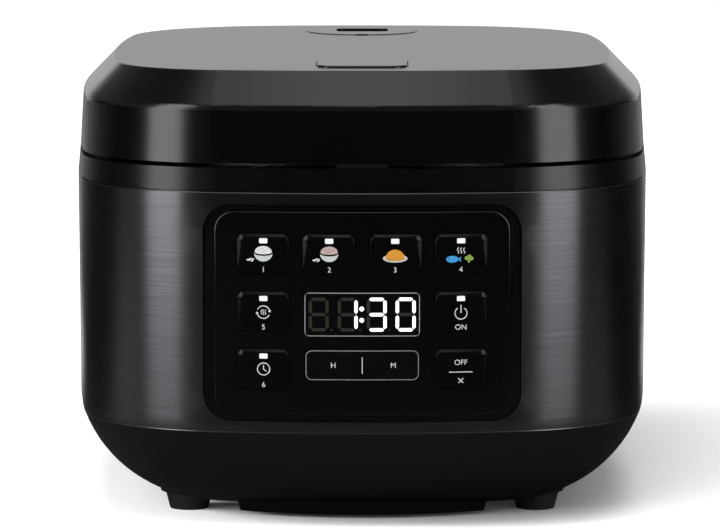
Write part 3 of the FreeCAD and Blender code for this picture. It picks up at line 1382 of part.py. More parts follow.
def build_power():
    """The power inlet in the back wall and the power board that hangs from the rim."""
    left = "(inlet_offset - inlet_width / 2)"
    right = "(inlet_offset + inlet_width / 2)"
    low = "(inlet_centre_z - inlet_height / 2)"
    high = "(inlet_centre_z + inlet_height / 2)"
    rear = "(half_depth - 4)"
    block = box((left, f"{rear} - inlet_depth", low), (right, rear, high))
    brim = box((f"{left} - 4", f"{rear} - 12", f"{low} - 4"), (f"{right} + 2", f"{rear} - 9", f"{high} + 4"))
    cavity = box((f"{left} + inlet_wall", f"{rear} - inlet_cavity", f"{low} + inlet_wall"),
                 (f"{right} - inlet_wall", f"{rear} + 1", f"{high} - inlet_wall"))
    slots = [box((f"{x} - 1.05", f"{rear} - inlet_depth - 1", "inlet_centre_z - 2.05"),
                 (f"{x} + 1.05", rear, "inlet_centre_z + 2.05")) for x in INLET_PINS]
    node("inlet_socket", cut(joined([block, brim]), [cavity] + slots))
    pins = [box((f"{x} - 1", f"{rear} - inlet_depth - 5", "inlet_centre_z - 2"),
                (f"{x} + 1", f"{rear} - 5", "inlet_centre_z + 2")) for x in INLET_PINS]
    node("inlet_pins", group(pins))

    wall = "(half_depth - 27)"
    face = f"({wall} - 4.4)"
    front = f"({face} - board_thickness)"
    half = "power_board_width / 2"
    top = f"({DECK_LOW} - 4)"
    bottom = f"({top} - power_board_height)"
    upright = box((f"-{half} - 4", wall, f"{bottom} - 4"), (f"{half} + 4", f"{wall} + 2", DECK_LOW))
    flange = box((f"-{half} - 4", f"{wall} - 14", f"{DECK_LOW} - 2"),
                 (f"{half} + 4", f"{wall} + 2", DECK_LOW))
    posts = [rod((f"{x} * ({half} - 5)", face, level), "5", "3", "y")
             for x in ("1", "-1") for level in (f"{bottom} + 5", f"{top} - 5")]
    node("board_bracket", joined([upright, flange] + posts))
    node("power_board", box((f"-{half}", front, bottom), (half, face, top)))
    parts = [
        box(("-44", f"{front} - 14", f"{bottom} + 8"), ("-14", front, f"{bottom} + 34")),
        box(("10", f"{front} - 12", f"{bottom} + 40"), ("29", front, f"{bottom} + 55")),
        box(("-40", f"{front} - 9", f"{bottom} + 46"), ("-16", front, f"{bottom} + 55")),
        box(("-6", f"{front} - 8", f"{bottom} + 4"), ("14", front, f"{bottom} + 12")),
        rod(("36", f"{front} - 18", f"{bottom} + 28"), "18", "6", "y"),
        rod(("22", f"{front} - 12", f"{bottom} + 22"), "12", "5", "y"),
    ]
    node("power_components", group(parts))


build_base_housing()
build_bottom_cover()
build_sleeve()
build_rim()
build_hinge()
build_chamber()
build_sensor()
build_lid()
build_lid_lining()
build_steam_cap()
build_latch()
build_panel()
build_control_board()
build_power()
doc.recompute()

faults = []
for item in doc.Objects:
    if "Invalid" in item.State or "Error" in item.State:
        faults.append(f"{item.Label}: {item.State}")
for name, item in NODES.items():
    shape = item.Shape
    if shape.isNull() or not shape.isValid() or not shape.Solids:
        faults.append(f"{name}: no valid solid")
if faults:
    raise SystemExit("\n".join(faults))

os.makedirs("parts", exist_ok=True)
for name, item in NODES.items():
    item.Shape.exportStep(f"parts/{name}.step")
print(len(NODES), "pieces written")
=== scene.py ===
"""Finishes, printed marks, display and studio for a rice cooker with a push-key panel."""

import math

import bmesh
import bpy
from bpy.props import FloatProperty, FloatVectorProperty, IntProperty, PointerProperty
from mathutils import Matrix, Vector


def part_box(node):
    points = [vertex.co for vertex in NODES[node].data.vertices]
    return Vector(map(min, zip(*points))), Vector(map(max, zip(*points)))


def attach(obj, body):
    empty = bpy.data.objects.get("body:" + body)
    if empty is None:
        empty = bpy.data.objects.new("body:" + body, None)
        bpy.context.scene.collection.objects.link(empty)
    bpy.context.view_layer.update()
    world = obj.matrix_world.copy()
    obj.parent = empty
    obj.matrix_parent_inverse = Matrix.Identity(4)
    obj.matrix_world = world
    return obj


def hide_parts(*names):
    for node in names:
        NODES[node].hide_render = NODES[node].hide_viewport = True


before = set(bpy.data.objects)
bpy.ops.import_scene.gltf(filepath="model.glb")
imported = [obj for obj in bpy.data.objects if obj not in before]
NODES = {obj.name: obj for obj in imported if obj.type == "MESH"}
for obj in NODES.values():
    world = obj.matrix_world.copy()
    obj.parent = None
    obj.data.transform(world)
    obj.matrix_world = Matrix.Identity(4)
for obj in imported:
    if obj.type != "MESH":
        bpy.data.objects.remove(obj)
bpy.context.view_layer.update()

bl_info = {
    "name": "Rice cooker finish",
    "version": (1, 0, 0),
    "blender": (4, 5, 0),
    "location": "View3D > Sidebar > Cooker",
    "description": "Gives the rice cooker its finishes, marks, display and studio",
    "category": "Object",
}

MM = 0.001

# The panel is an upright arc: where its axis stands, and the radii of the faces on it.
PANEL_AXIS_Y = 0.240
PLATE_RADIUS = 0.4128
WINDOW_RADIUS = 0.4127
ROCKER_RADIUS = 0.4130

# The window's brim outside its frame line, both sides together, and the pot's inner radius.
WINDOW_BRIM = 3.0 * MM
POT_RADIUS = 0.1139

# How finely shapes are divided, and how near two points count as one.
LONGEST_RUN = 2.5 * MM
ROUND_STEPS = 40
SIDE_STEPS = 9
HEM_STEPS = 12
SAME_PLACE = 1e-6

# The push keys, and the labels of those that also have a lamp window: all but the last.
ALL_KEYS = ("program_key_1", "program_key_2", "program_key_3", "program_key_4",
            "keep_warm_key", "start_key", "timer_key", "cancel_key")
LABELS = dict(zip(ALL_KEYS, ("1", "2", "3", "4", "5", "ON", "6")))

# The bars of a digit: top, upper right, lower right, bottom, lower left, upper left, middle.
BARS = "abcdefg"
DISPLAY = ("", "bc", "abgcd", "abcdef")

# Each soft box: where it stands, where it points, its width and its height, in metres. Those
# named as floor lamps light nothing but the floor.
SOFT_BOXES = {
    "left_strip": ((-0.592, -0.492, 0.53), (-0.09, -0.13, 0.53), 0.30, 0.94),
    "right_strip": ((0.584, -0.504, 0.53), (0.09, -0.13, 0.53), 0.325, 0.94),
    "floor_lamp": ((0.08, -0.50, 1.5), (0, 0, 0), 1.2, 1.2),
    "side_lamp": ((-1.3, -0.25, 0.4), (0, 0, 0), 0.5, 0.5),
    "front_lamp": ((-0.6, -1.2, 0.5), (0, 0, 0), 0.6, 0.4),
}
FLOOR_LAMPS = ("floor_lamp", "side_lamp", "front_lamp")

# Half the floor's width, then ranges over which parts of it go from none to full, in metres from
# the cooker's middle: its own white, and the patches behind and at the sides that show in
# reflections. The sides show by a share, and the rest of the floor as dark shades.
FLOOR_HALF = 6.0
GLOW_REACH = (0.16, 1.10)
BACK_ASIDE, BACK_NEAR, BACK_FAR = (0.42, 0.22), (0.22, 0.45), (0.75, 1.30)
SIDE_INNER, SIDE_OUTER = (0.20, 0.40), (0.85, 0.60)
SIDE_FRONT, SIDE_BACK = (-0.35, -0.10), (0.02, -0.12)
SIDE_SHARE = 0.25
DARK_SHADES = ((0.28, 0.06, 0.06, 0.06), (0.52, 0.02, 0.02, 0.02))

# Ranges over which parts of the room go from none to full, by the direction they are seen in.
SWEEP_BACK, SWEEP_UP = (0.66, 0.97), (0.40, 0.06)
OVERHEAD_ASIDE, OVERHEAD_UP = (0.50, 0.0), (0.80, 0.97)
CEILING_UP = (0.05, 0.70)
WALL_FOOT, WALL_TOP, WALL_ASIDE = (0.10, 0.30), (0.80, 0.50), (0.93, 0.985)

# The camera's sensor in millimetres, and the sideways shift of its picture as a share of its width.
SENSOR_WIDTH = 36.0
CAMERA_SHIFT = -2.2 / 720


def size(name, millimetres, description):
    """A length that the user may change, in metres."""
    return FloatProperty(name=name, description=description, default=millimetres * MM,
                         subtype="DISTANCE", unit="LENGTH", precision=5)


def angle(name, degrees, description):
    """An angle that the user may change."""
    return FloatProperty(name=name, description=description, default=math.radians(degrees),
                         subtype="ANGLE", unit="ROTATION")


def colour(name, rgb, description):
    """A colour that the user may change, as linear red, green and blue."""
    return FloatVectorProperty(name=name, description=description, default=rgb,
                               subtype="COLOR", size=3, min=0.0, max=1.0)


def level(name, amount, description):
    """A plain number that the user may change."""
    return FloatProperty(name=name, description=description, default=amount, min=0.0)


class CookerColours(bpy.types.PropertyGroup):
    """The colours of the shell, the panel, the inside and the marks."""

    lid: colour("Lid", (0.0009, 0.0009, 0.0010), "Gloss moulding of the lid")
    rim: colour("Rim", (0.0008, 0.0008, 0.0009), "Satin moulding of the rim")
    base: colour("Base", (0.0024, 0.0024, 0.0025), "Grained moulding of the base")
    steel: colour("Sleeve", (0.107, 0.103, 0.112), "Black brushed steel of the sleeve")
    panel: colour("Panel", (0.0012, 0.0012, 0.0012), "Gloss panel plate")
    key: colour("Keys", (0.0014, 0.0014, 0.0014), "Gloss push keys")
    ink: colour("Ink", (0.50, 0.50, 0.50), "Printed marks")
    lamp: colour("Lamps", (0.80, 0.80, 0.79), "Lamp windows in the keys")
    lit: colour("Lit bars", (1.0, 1.0, 1.0), "Bars of the display that are on")
    unlit: colour("Unlit bars", (0.018, 0.017, 0.011), "Bars of the display that are off")
    china: colour("China", (0.40, 0.42, 0.43), "Bowls and plate of the marks")
    husk: colour("Whole grain", (0.36, 0.28, 0.26), "Whole-grain mark")
    gold: colour("Golden mound", (0.50, 0.21, 0.012), "Golden mound mark")
    leaf: colour("Leaf", (0.17, 0.28, 0.04), "Green mark")
    water: colour("Water", (0.028, 0.23, 0.50), "Blue mark")
    pot: colour("Pot", (0.030, 0.030, 0.032), "Coated cooking pot")
    silicone: colour("Silicone", (0.055, 0.055, 0.058), "Gasket, knob and steam duct")
    floor: colour("Floor", (0.86, 0.86, 0.86), "Pale studio floor")


class CookerSizes(bpy.types.PropertyGroup):
    """The sizes of the keys, the marks, the display, the hems and the finger notch."""

    lift: size("Mark height", 0.045, "How far a printed mark stands proud")
    stroke: size("Stroke", 0.42, "Width of a drawn line")
    letter: size("Letters", 2.5, "Height of the numbers and letters on the keys")
    key_width: size("Key width", 24.0, "Width of a push key")
    key_height: size("Key height", 18.0, "Height of a push key")
    key_corner: size("Key corner", 3.0, "Radius of a push key's corners")
    key_top: size("Key top", 1.25, "How far a key's upper edge stands proud of the plate")
    key_slope: angle("Key slope", 28, "Slope away from the panel's middle")
    key_brow: angle("Key brow", 40, "Slope along a key's upper edge")
    key_inner: angle("Key inner slope", 52, "Slope towards the panel's middle")
    lamp_width: size("Lamp width", 3.75, "Width of a lamp window")
    lamp_height: size("Lamp height", 2.35, "Height of a lamp window")
    lamp_rise: size("Lamp rise", 6.0, "How far a lamp window sits above its key's middle")
    label_drop: size("Label drop", 7.2, "How far a label sits below its key's middle")
    digit_width: size("Digit width", 9.1, "Width of a display digit")
    digit_height: size("Digit height", 15.5, "Height of a display digit")
    digit_pitch: size("Digit pitch", 13.2, "Distance between display digits")
    bar: size("Bar", 1.5, "Thickness of a display bar")
    frame_line: size("Frame line", 0.34, "Width of the line round the window and the rocker")
    # The finger notch is drawn as a flat patch of painted shade; these two set that patch's size.
    notch_shade_width: size("Notch width", 6.4, "Width of the finger notch in front of the steam cap")
    notch_shade_depth: size("Notch depth", 2.6, "How far the finger notch runs from front to back")
    hem: size("Hem", 0.42, "Radius of the rolled hem along the sleeve's edges")
    rocker_height: size("Rocker height", 14.0, "Height of the rocker's face")
    pot_step: size("Water step", 9.5, "Height between water lines in the pot")
    pot_lines: IntProperty(name="Water lines", description="Number of water lines in the pot",
                           default=8, min=1, max=12)


class CookerStudio(bpy.types.PropertyGroup):
    """The camera, the lamps, the floor and the room round them."""

    camera_back: size("Camera distance", 2292.0, "How far the camera stands in front")
    camera_up: size("Camera height", 378.0, "How high the camera stands")
    camera_tilt: angle("Camera tilt", 6.82, "How far the camera looks down")
    lens: FloatProperty(name="Lens", description="Focal length in millimetres", default=234.75,
                        subtype="DISTANCE_CAMERA", unit="CAMERA")
    left_strip: level("Left strip", 3.85, "Power of the tall soft strip on the left, in watts")
    right_strip: level("Right strip", 3.45, "Power of the tall soft strip on the right, in watts")
    floor_lamp: level("Floor lamp", 26.0, "Power of the soft box that lights the floor, in watts")
    side_lamp: level("Side lamp", 30.0, "Power of the low lamp that lights the floor, in watts")
    front_lamp: level("Front lamp", 8.0, "Power of the lamp that fills the near floor, in watts")
    fill: level("Fill", 0.20, "Even light from all round")
    dim: level("Dim", 0.012, "How bright the dark side of the room shows in reflections")
    ceiling: level("Ceiling", 0.10, "How bright the ceiling shows in reflections")
    overhead: level("Overhead", 1.62, "How bright the soft panel overhead shows in reflections")
    walls: level("Walls", 0.28, "How bright the walls at the sides show in reflections")
    corners: level("Corners", 0.15, "How bright the rest of the walls shows in reflections")
    sweep: level("Sweep", 0.77, "How bright the white behind shows in reflections")
    floor_glow: level("Floor glow", 0.02, "How much of the floor's white it gives by itself")


SOCKETS = {
    "roughness": "Roughness",
    "metallic": "Metallic",
    "specular": "Specular IOR Level",
    "anisotropic": "Anisotropic",
    "brush_turn": "Anisotropic Rotation",
    "edge_tint": "Specular Tint",
    "glow_colour": "Emission Color",
    "glow": "Emission Strength",
}


def shader_of(material):
    """The main shader of a material."""
    return material.node_tree.nodes["Principled BSDF"]


def new_finish(name, **values):
    """Start a material whose even values are set on the shader's own sockets."""
    material = bpy.data.materials.new(name)
    material.use_nodes = True
    for key, value in values.items():
        socket = shader_of(material).inputs[SOCKETS[key]]
        socket.default_value = (*value, 1.0) if socket.type == "RGBA" else value
    return material


def add_node(tree, kind, *sources, **settings):
    """Add a shader node with its settings, and link sources to its first sockets."""
    node = tree.nodes.new(f"ShaderNode{kind}")
    for name, value in settings.items():
        setattr(node, name, value)
    for socket, source in zip(node.inputs, sources):
        tree.links.new(source, socket)
    return node


def feed(material, source, socket):
    """Link a source to a socket of a material's main shader."""
    material.node_tree.links.new(source, shader_of(material).inputs[socket])


def mapped(tree, source, span, low=0.0, high=1.0, shape="SMOOTHSTEP"):
    """A source that runs over a span, taken to run from low to high."""
    node = add_node(tree, "MapRange", source, interpolation_type=shape)
    ends = {"From Min": span[0], "From Max": span[1], "To Min": low, "To Max": high}
    for name, value in ends.items():
        node.inputs[name].default_value = value
    return node.outputs["Result"]


def scaled(tree, source, low, high):
    """A source from 0 to 1, taken to run evenly from low to high."""
    return mapped(tree, source, (0.0, 1.0), low, high, "LINEAR")


def joined(tree, operation, first, *others):
    """Sources joined one after another by an operation."""
    for other in others:
        first = add_node(tree, "Math", first, other, operation=operation).outputs["Value"]
    return first


def without_sign(tree, source):
    """The size of a source, whichever its sign."""
    return add_node(tree, "Math", source, operation="ABSOLUTE").outputs["Value"]


def length_of(tree, source):
    """The length of a vector."""
    return add_node(tree, "VectorMath", source, operation="LENGTH").outputs["Value"]


def ramp(tree, source, stops):
    """A colour from stops of (place, red, green, blue) along a source."""
    node = add_node(tree, "ValToRGB", source)
    elements = node.color_ramp.elements
    while len(elements) < len(stops):
        elements.new(1.0)
    for element, (place, *rgb) in zip(elements, stops):
        element.position = place
        element.color = (*rgb, 1.0)
    return node.outputs["Color"]


def place_of(material, stretch, centred=False):
    """Coordinates fixed to the piece, with a length along each axis that counts as one."""
    tree = material.node_tree
    place = add_node(tree, "TexCoord").outputs["Object"]
    if centred:
        parts = add_node(tree, "SeparateXYZ", place)
        flat = add_node(tree, "CombineXYZ", parts.outputs["X"], parts.outputs["Y"])
        rings = add_node(tree, "CombineXYZ", length_of(tree, flat.outputs["Vector"]))
        tree.links.new(parts.outputs["Z"], rings.inputs["Z"])
        place = rings.outputs["Vector"]
    mapping = add_node(tree, "Mapping", place)
    mapping.inputs["Scale"].default_value = [1.0 / length for length in stretch]
    return mapping.outputs["Vector"]


def grain(material, stretch, detail, centred=False):
    """Noise with grains of the given size along each axis."""
    if isinstance(stretch, float):
        stretch = (stretch,) * 3
    noise = add_node(material.node_tree, "TexNoise", place_of(material, stretch, centred))
    noise.inputs["Scale"].default_value = 1.0
    noise.inputs["Detail"].default_value = detail
    return noise.outputs["Fac"]


def cells(material, stretch, feature="F1", output="Distance"):
    """Scattered cells of the given size."""
    place = place_of(material, (stretch,) * 3)
    voronoi = add_node(material.node_tree, "TexVoronoi", place, feature=feature)
    voronoi.inputs["Scale"].default_value = 1.0
    return voronoi.outputs[output]


# Most of a noise lies between these two values.
NOISE_SPAN = (0.3, 0.7)


def tint(material, source, stops):
    """Colour the surface from stops along a source."""
    feed(material, ramp(material.node_tree, source, stops), "Base Color")


def mottle(material, source, rgb, share):
    """Let a colour drift darker and lighter by a share of itself."""
    shares = (1 - share, 1 + share)
    tint(material, source, [(place, *(c * part for c in rgb))
                            for place, part in zip(NOISE_SPAN, shares)])


def spread(material, source, low, high):
    """Let the roughness run between two values along a source."""
    rough = mapped(material.node_tree, source, NOISE_SPAN, low, high, "LINEAR")
    feed(material, rough, "Roughness")


def relief(material, source, depth):
    """Raise the surface by a source, to the given depth."""
    bump = add_node(material.node_tree, "Bump")
    bump.inputs["Distance"].default_value = depth
    material.node_tree.links.new(source, bump.inputs["Height"])
    feed(material, bump.outputs["Normal"], "Normal")


def moulding(name, rgb, rough, drift, grain_size, grain_depth, shine=0.5):
    """Moulded plastic: a fine skin, slow flow marks and a surface that drifts in gloss."""
    material = new_finish(name, specular=shine)
    mottle(material, grain(material, 0.06, 5.0), rgb, 0.12)
    spread(material, grain(material, 0.021, 6.0), rough - drift, rough + drift)
    relief(material, grain(material, grain_size, 2.0), grain_depth)
    return material


def brushed(name, rgb, rough, line, run, share, across=0.0):
    """Brushed metal: fine level lines that vary in colour, gloss and height."""
    material = new_finish(name, metallic=1.0, anisotropic=across, brush_turn=0.25,
                          edge_tint=(0.58, 0.58, 0.58))
    fine = grain(material, (run, run, line), 4.0)
    coarse = grain(material, (run * 2.5, run * 2.5, line * 5), 2.0)
    mottle(material, fine, rgb, share)
    spread(material, coarse, rough * 0.95, rough * 1.05)
    relief(material, fine, 2.5e-6)
    if across:
        tangent = add_node(material.node_tree, "Tangent", direction_type="RADIAL", axis="Z")
        feed(material, tangent.outputs["Tangent"], "Tangent")
    return material


def turned_metal(name, rgb, rough, line=0.0009):
    """Spun metal: rings left by the tool about the middle."""
    material = new_finish(name, metallic=1.0)
    rings = grain(material, (line, 1.0, 0.02), 2.0, centred=True)
    mottle(material, rings, rgb, 0.12)
    spread(material, rings, rough * 0.92, rough * 1.08)
    relief(material, rings, 1e-6)
    return material


def plated(name, rgb, rough):
    """Plated steel: a fine crystal pattern and slight staining."""
    material = new_finish(name, metallic=1.0)
    mottle(material, grain(material, 0.004, 5.0), rgb, 0.16)
    spread(material, cells(material, 0.0012), rough * 0.8, rough * 1.25)
    relief(material, grain(material, 0.0008, 2.0), 4e-6)
    return material


def coated(name, rgb):
    """Non-stick coating: a dark skin with fine pale flecks."""
    material = new_finish(name, specular=0.5)
    tint(material, cells(material, 0.0016), [(0.02, 0.16, 0.16, 0.17), (0.14, *rgb),
                                             (0.90, *(c * 0.82 for c in rgb))])
    spread(material, grain(material, 0.012, 5.0), 0.30, 0.42)
    relief(material, grain(material, 0.0009, 3.0), 9e-6)
    return material


def circuit_finish():
    """Circuit board: green lacquer over copper runs."""
    material = new_finish("board_green", roughness=0.35)
    runs = cells(material, 0.006, "DISTANCE_TO_EDGE")
    tint(material, runs, [(0.03, 0.03, 0.13, 0.045), (0.05, 0.010, 0.055, 0.022)])
    relief(material, runs, 3e-5)
    return material


def moulded_parts_finish():
    """Switches, relays and capacitors: dark housings with pale and tinned patches."""
    material = new_finish("board_parts", roughness=0.45)
    tint(material, cells(material, 0.011, output="Color"),
         [(0.30, 0.012, 0.012, 0.013), (0.62, 0.045, 0.045, 0.048), (0.95, 0.30, 0.29, 0.27)])
    relief(material, grain(material, 0.0006, 2.0), 6e-6)
    return material


def foil_finish():
    """Warming band: crumpled foil."""
    material = new_finish("warming_foil", metallic=1.0)
    mottle(material, grain(material, 0.008, 5.0), (0.62, 0.62, 0.63), 0.12)
    spread(material, grain(material, 0.003, 4.0), 0.22, 0.42)
    relief(material, cells(material, 0.005), 1.2e-4)
    return material


def glow_finish(name, rgb, strength, paint):
    """A lit surface: fine diffusing grain, with light of its own."""
    material = new_finish(name, glow_colour=rgb, glow=strength, roughness=0.4)
    mottle(material, grain(material, 0.0006, 3.0), paint, 0.06)
    relief(material, grain(material, 0.0004, 2.0), 3e-6)
    return material


def ink_finish(name, rgb):
    """Screen-printed ink: slightly uneven, with a soft sheen."""
    material = new_finish(name, specular=0.3)
    mottle(material, grain(material, 0.0007, 4.0), rgb, 0.08)
    spread(material, grain(material, 0.0011, 3.0), 0.45, 0.62)
    relief(material, grain(material, 0.0004, 2.0), 3e-6)
    return material


def finish_nodes(material, *names):
    """Give a material to CAD nodes."""
    for name in names:
        node = NODES[name]
        if not node.material_slots:
            raise RuntimeError(f"{name} has no material slot")
        for place in node.material_slots:
            place.material = material


def on_panel(radius):
    """Lay flat points on the panel's upright arc, a little proud of it."""
    def lay(across, up, lift):
        return Vector((across, PANEL_AXIS_Y - math.sqrt((radius + lift) ** 2 - across ** 2), up))
    return lay


def key_face(up, sizes):
    """How far a key's face stands proud of the plate at a height above its middle."""
    return sizes.key_top * (0.5 + up / sizes.key_height)


def on_key(middle, sizes):
    """Lay flat points on a key's face, which leans out towards its upper edge."""
    def lay(across, up, lift):
        return on_panel(PLATE_RADIUS)(across, up, lift + key_face(up - middle, sizes))
    return lay


def in_pot(bearing):
    """Lay flat points on the pot's inner wall, about a bearing, a little proud of it."""
    def lay(across, up, lift):
        turn = bearing + across / POT_RADIUS
        reach = POT_RADIUS - lift
        return Vector((reach * math.sin(turn), reach * math.cos(turn), up))
    return lay


def circle_points(x, y, radius, start=0.0, end=360.0, squash=1.0):
    """Points round a circle or along an arc, in degrees from the right, anticlockwise."""
    whole = abs(end - start) >= 360.0
    count = max(6, int(ROUND_STEPS * abs(end - start) / 360.0))
    last = count if whole else count + 1
    turns = [math.radians(start + (end - start) * i / count) for i in range(last)]
    return [(x + radius * math.cos(t), y + radius * squash * math.sin(t)) for t in turns]


def rounded_points(x, y, width, height, corner, steps=1):
    """Points round a rectangle with round corners, each straight side in a number of steps."""
    points = []
    for across, up, start in ((1, 1, 0), (-1, 1, 90), (-1, -1, 180), (1, -1, 270)):
        middle_x = x + across * (width / 2 - corner)
        middle_y = y + up * (height / 2 - corner)
        points += circle_points(middle_x, middle_y, corner, start, start + 90)
        end_x, end_y = points[-1]
        side = (height if start in (90, 270) else width) - 2 * corner
        turn = math.radians(start + 180)
        for i in range(1, steps):
            reach = side * i / steps
            points.append((end_x + reach * math.cos(turn), end_y + reach * math.sin(turn)))
    return points


def divided(points, closed):
    """Add points so that no run is longer than the curve of the panel allows."""
    ends = points[1:] + points[:1] if closed else points[1:]
    result = []
    for (x0, y0), (x1, y1) in zip(points, ends):
        count = max(1, math.ceil(math.hypot(x1 - x0, y1 - y0) / LONGEST_RUN))
        result += [(x0 + (x1 - x0) * i / count, y0 + (y1 - y0) * i / count) for i in range(count)]
    return result if closed else result + points[-1:]


def new_piece(name, shape, finishes):
    """Make an object from a drawn shape and give it its finishes."""
    mesh = bpy.data.meshes.new(name)
    shape.to_mesh(mesh)
    shape.free()
    for material in finishes:
        mesh.materials.append(material)
    piece = bpy.data.objects.new(name, mesh)
    bpy.context.scene.collection.objects.link(piece)
    return piece


class Marks:
    """Thin raised shapes, drawn flat and laid on a curved surface."""

    # How much of a font's size the height of its capitals takes.
    CAPITALS = 0.72

    def __init__(self, name, body, lay, lift, finishes, slot=None, middle=(0.0, 0.0)):
        self.name = name
        self.body = body
        self.lay = lay
        self.lift = lift
        self.finishes = finishes
        self.slot = slot
        self.middle = middle
        self.shape = bmesh.new()

    def points(self, outline, lift):
        return [self.shape.verts.new(self.lay(x, y, lift)) for x, y in outline]

    def placed(self, rings):
        return [[self.shape.verts.new(place) for place in ring] for ring in rings]

    def face(self, corners, finish):
        self.shape.faces.new(corners).material_index = finish

    def walls(self, front, back, finish, closed=True):
        count = len(front)
        for i in range(count if closed else count - 1):
            j = (i + 1) % count
            self.face((front[i], back[i], back[j], front[j]), finish)

    def skin(self, rings):
        """Join rings of points of one length into a closed skin, with a cap at each end."""
        placed = self.placed(rings)
        for outer, inner in zip(placed, placed[1:]):
            self.walls(outer, inner, 0)
        self.face(placed[0], 0)
        self.face(placed[-1][::-1], 0)

    def tube(self, rings):
        """Join rings of points of one length into a closed hoop."""
        placed = self.placed(rings)
        for i, ring in enumerate(placed):
            self.walls(ring, placed[i - 1], 0)

    def fill(self, outline, finish=0, lift=1.0):
        """A solid patch with a closed outline, drawn anticlockwise."""
        front = self.points(outline, self.lift * lift)
        back = self.points(outline, -self.lift)
        self.face(front, finish)
        self.face(back[::-1], finish)
        self.walls(front, back, finish)

    def line(self, outline, width, finish=0, closed=False):
        """A line of even width along points."""
        path = divided(outline, closed)
        left, right = [], []
        count = len(path)
        for i, (x, y) in enumerate(path):
            before = path[i - 1] if closed or i else path[i]
            after = path[(i + 1) % count] if closed or i < count - 1 else path[i]
            along = Vector((after[0] - before[0], after[1] - before[1])).normalized()
            left.append((x - along.y * width / 2, y + along.x * width / 2))
            right.append((x + along.y * width / 2, y - along.x * width / 2))
        edges = [self.points(side, self.lift * up) for side in (left, right) for up in (1, -1)]
        left_front, left_back, right_front, right_back = edges
        self.walls(left_front, right_front, finish, closed)
        self.walls(right_front, right_back, finish, closed)
        self.walls(right_back, left_back, finish, closed)
        self.walls(left_back, left_front, finish, closed)
        if not closed:
            self.face((left_front[0], left_back[0], right_back[0], right_front[0]), finish)
            self.face((left_front[-1], right_front[-1], right_back[-1], left_back[-1]), finish)

    def about(self, outline):
        """An outline in millimetres from the marks' middle, as lengths on the surface."""
        x, y = self.middle
        return [(x + across * MM, y + up * MM) for across, up in outline]

    def patch(self, outline, finish=0, lift=1.0):
        """A solid patch, drawn in millimetres from the marks' middle."""
        self.fill(self.about(outline), finish, lift)

    def stroke(self, outline, width, finish=0, closed=False):
        """A line, drawn in millimetres from the marks' middle."""
        self.line(self.about(outline), width, finish, closed)

    def letters(self, text, x, y, height, finish=0):
        """Plain numbers or letters, centred on a point."""
        writing = bpy.data.curves.new("writing", "FONT")
        writing.body = text
        writing.size = height / self.CAPITALS
        writing.align_x = "CENTER"
        writing.align_y = "CENTER"
        writing.extrude = self.lift
        writing.resolution_u = 6
        holder = bpy.data.objects.new("writing", writing)
        bpy.context.scene.collection.objects.link(holder)
        seen = holder.evaluated_get(bpy.context.evaluated_depsgraph_get())
        flat = bpy.data.meshes.new_from_object(seen)
        heights = [vertex.co.y for vertex in flat.vertices]
        middle = (min(heights) + max(heights)) / 2
        for vertex in flat.vertices:
            up = vertex.co.y - middle
            vertex.co = self.lay(x + vertex.co.x, y + up, math.copysign(self.lift, vertex.co.z))
        for face in flat.polygons:
            face.material_index = finish
        self.shape.from_mesh(flat)
        bpy.data.objects.remove(holder)
        bpy.data.curves.remove(writing)
        bpy.data.meshes.remove(flat)

    def finished(self, smooth=False):
        """Make the piece from what has been drawn."""
        bmesh.ops.remove_doubles(self.shape, verts=self.shape.verts, dist=SAME_PLACE)
        bmesh.ops.recalc_face_normals(self.shape, faces=self.shape.faces)
        if smooth:
            for face in self.shape.faces:
                face.smooth = True
        piece = new_piece(self.name, self.shape, self.finishes)
        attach(piece, self.body)
        return piece


def middle_of(node):
    """The middle of a CAD node across and up."""
    low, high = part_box(node)
    return (low.x + high.x) / 2, (low.z + high.z) / 2


# The inks of a picture on a key, by the order of its material slots. Pictures are drawn in
# millimetres from the middle of their marks.
WHITE, MAIN, GREEN, DARK, CHINA = range(5)


def leaned(x, y, radius, squash, turn):
    """Points round an oval that is turned about its middle, in degrees."""
    cosine = math.cos(math.radians(turn))
    sine = math.sin(math.radians(turn))
    oval = circle_points(0.0, 0.0, radius, squash=squash)
    return [(x + a * cosine - b * sine, y + a * sine + b * cosine) for a, b in oval]


def bowl(marks, sizes):
    """A bowl with a heaped mound, a few grains and an ear of grain beside it."""
    body = circle_points(0, 0.3, 4.2, 180, 360, 0.92)
    hollow = circle_points(0, 0.3, 4.2, 360, 180, 0.30)
    marks.patch(body + hollow[1:-1], CHINA)
    heap = circle_points(0, 0.8, 3.9, 0, 180, 0.72)
    front = circle_points(0, 0.8, 3.9, 180, 360, 0.26)
    marks.patch(heap + front[1:-1], MAIN)
    for across, up in ((-1.7, 1.6), (-0.3, 2.4), (1.3, 1.7), (0.3, 1.0), (-1.0, 0.6)):
        marks.patch(circle_points(across, up, 0.22, squash=0.7), DARK, 1.5)
    for across, up, turn in ((-5.9, -2.4, 20), (-4.9, -2.9, 50), (-6.8, -2.9, -10)):
        marks.patch(leaned(across, up, 0.95, 0.38, turn), WHITE)


def plate(marks, sizes):
    """A mound on a flat plate, with a sprig of green."""
    marks.patch(circle_points(0, -1.9, 5.6, squash=0.34), CHINA)
    heap = circle_points(0, -1.9, 4.3, 0, 180, 0.95)
    front = circle_points(0, -1.9, 4.3, 180, 360, 0.28)
    marks.patch(heap + front[1:-1], MAIN, 1.5)
    marks.patch(circle_points(-2.5, -2.7, 0.8, squash=0.5), GREEN, 2.0)


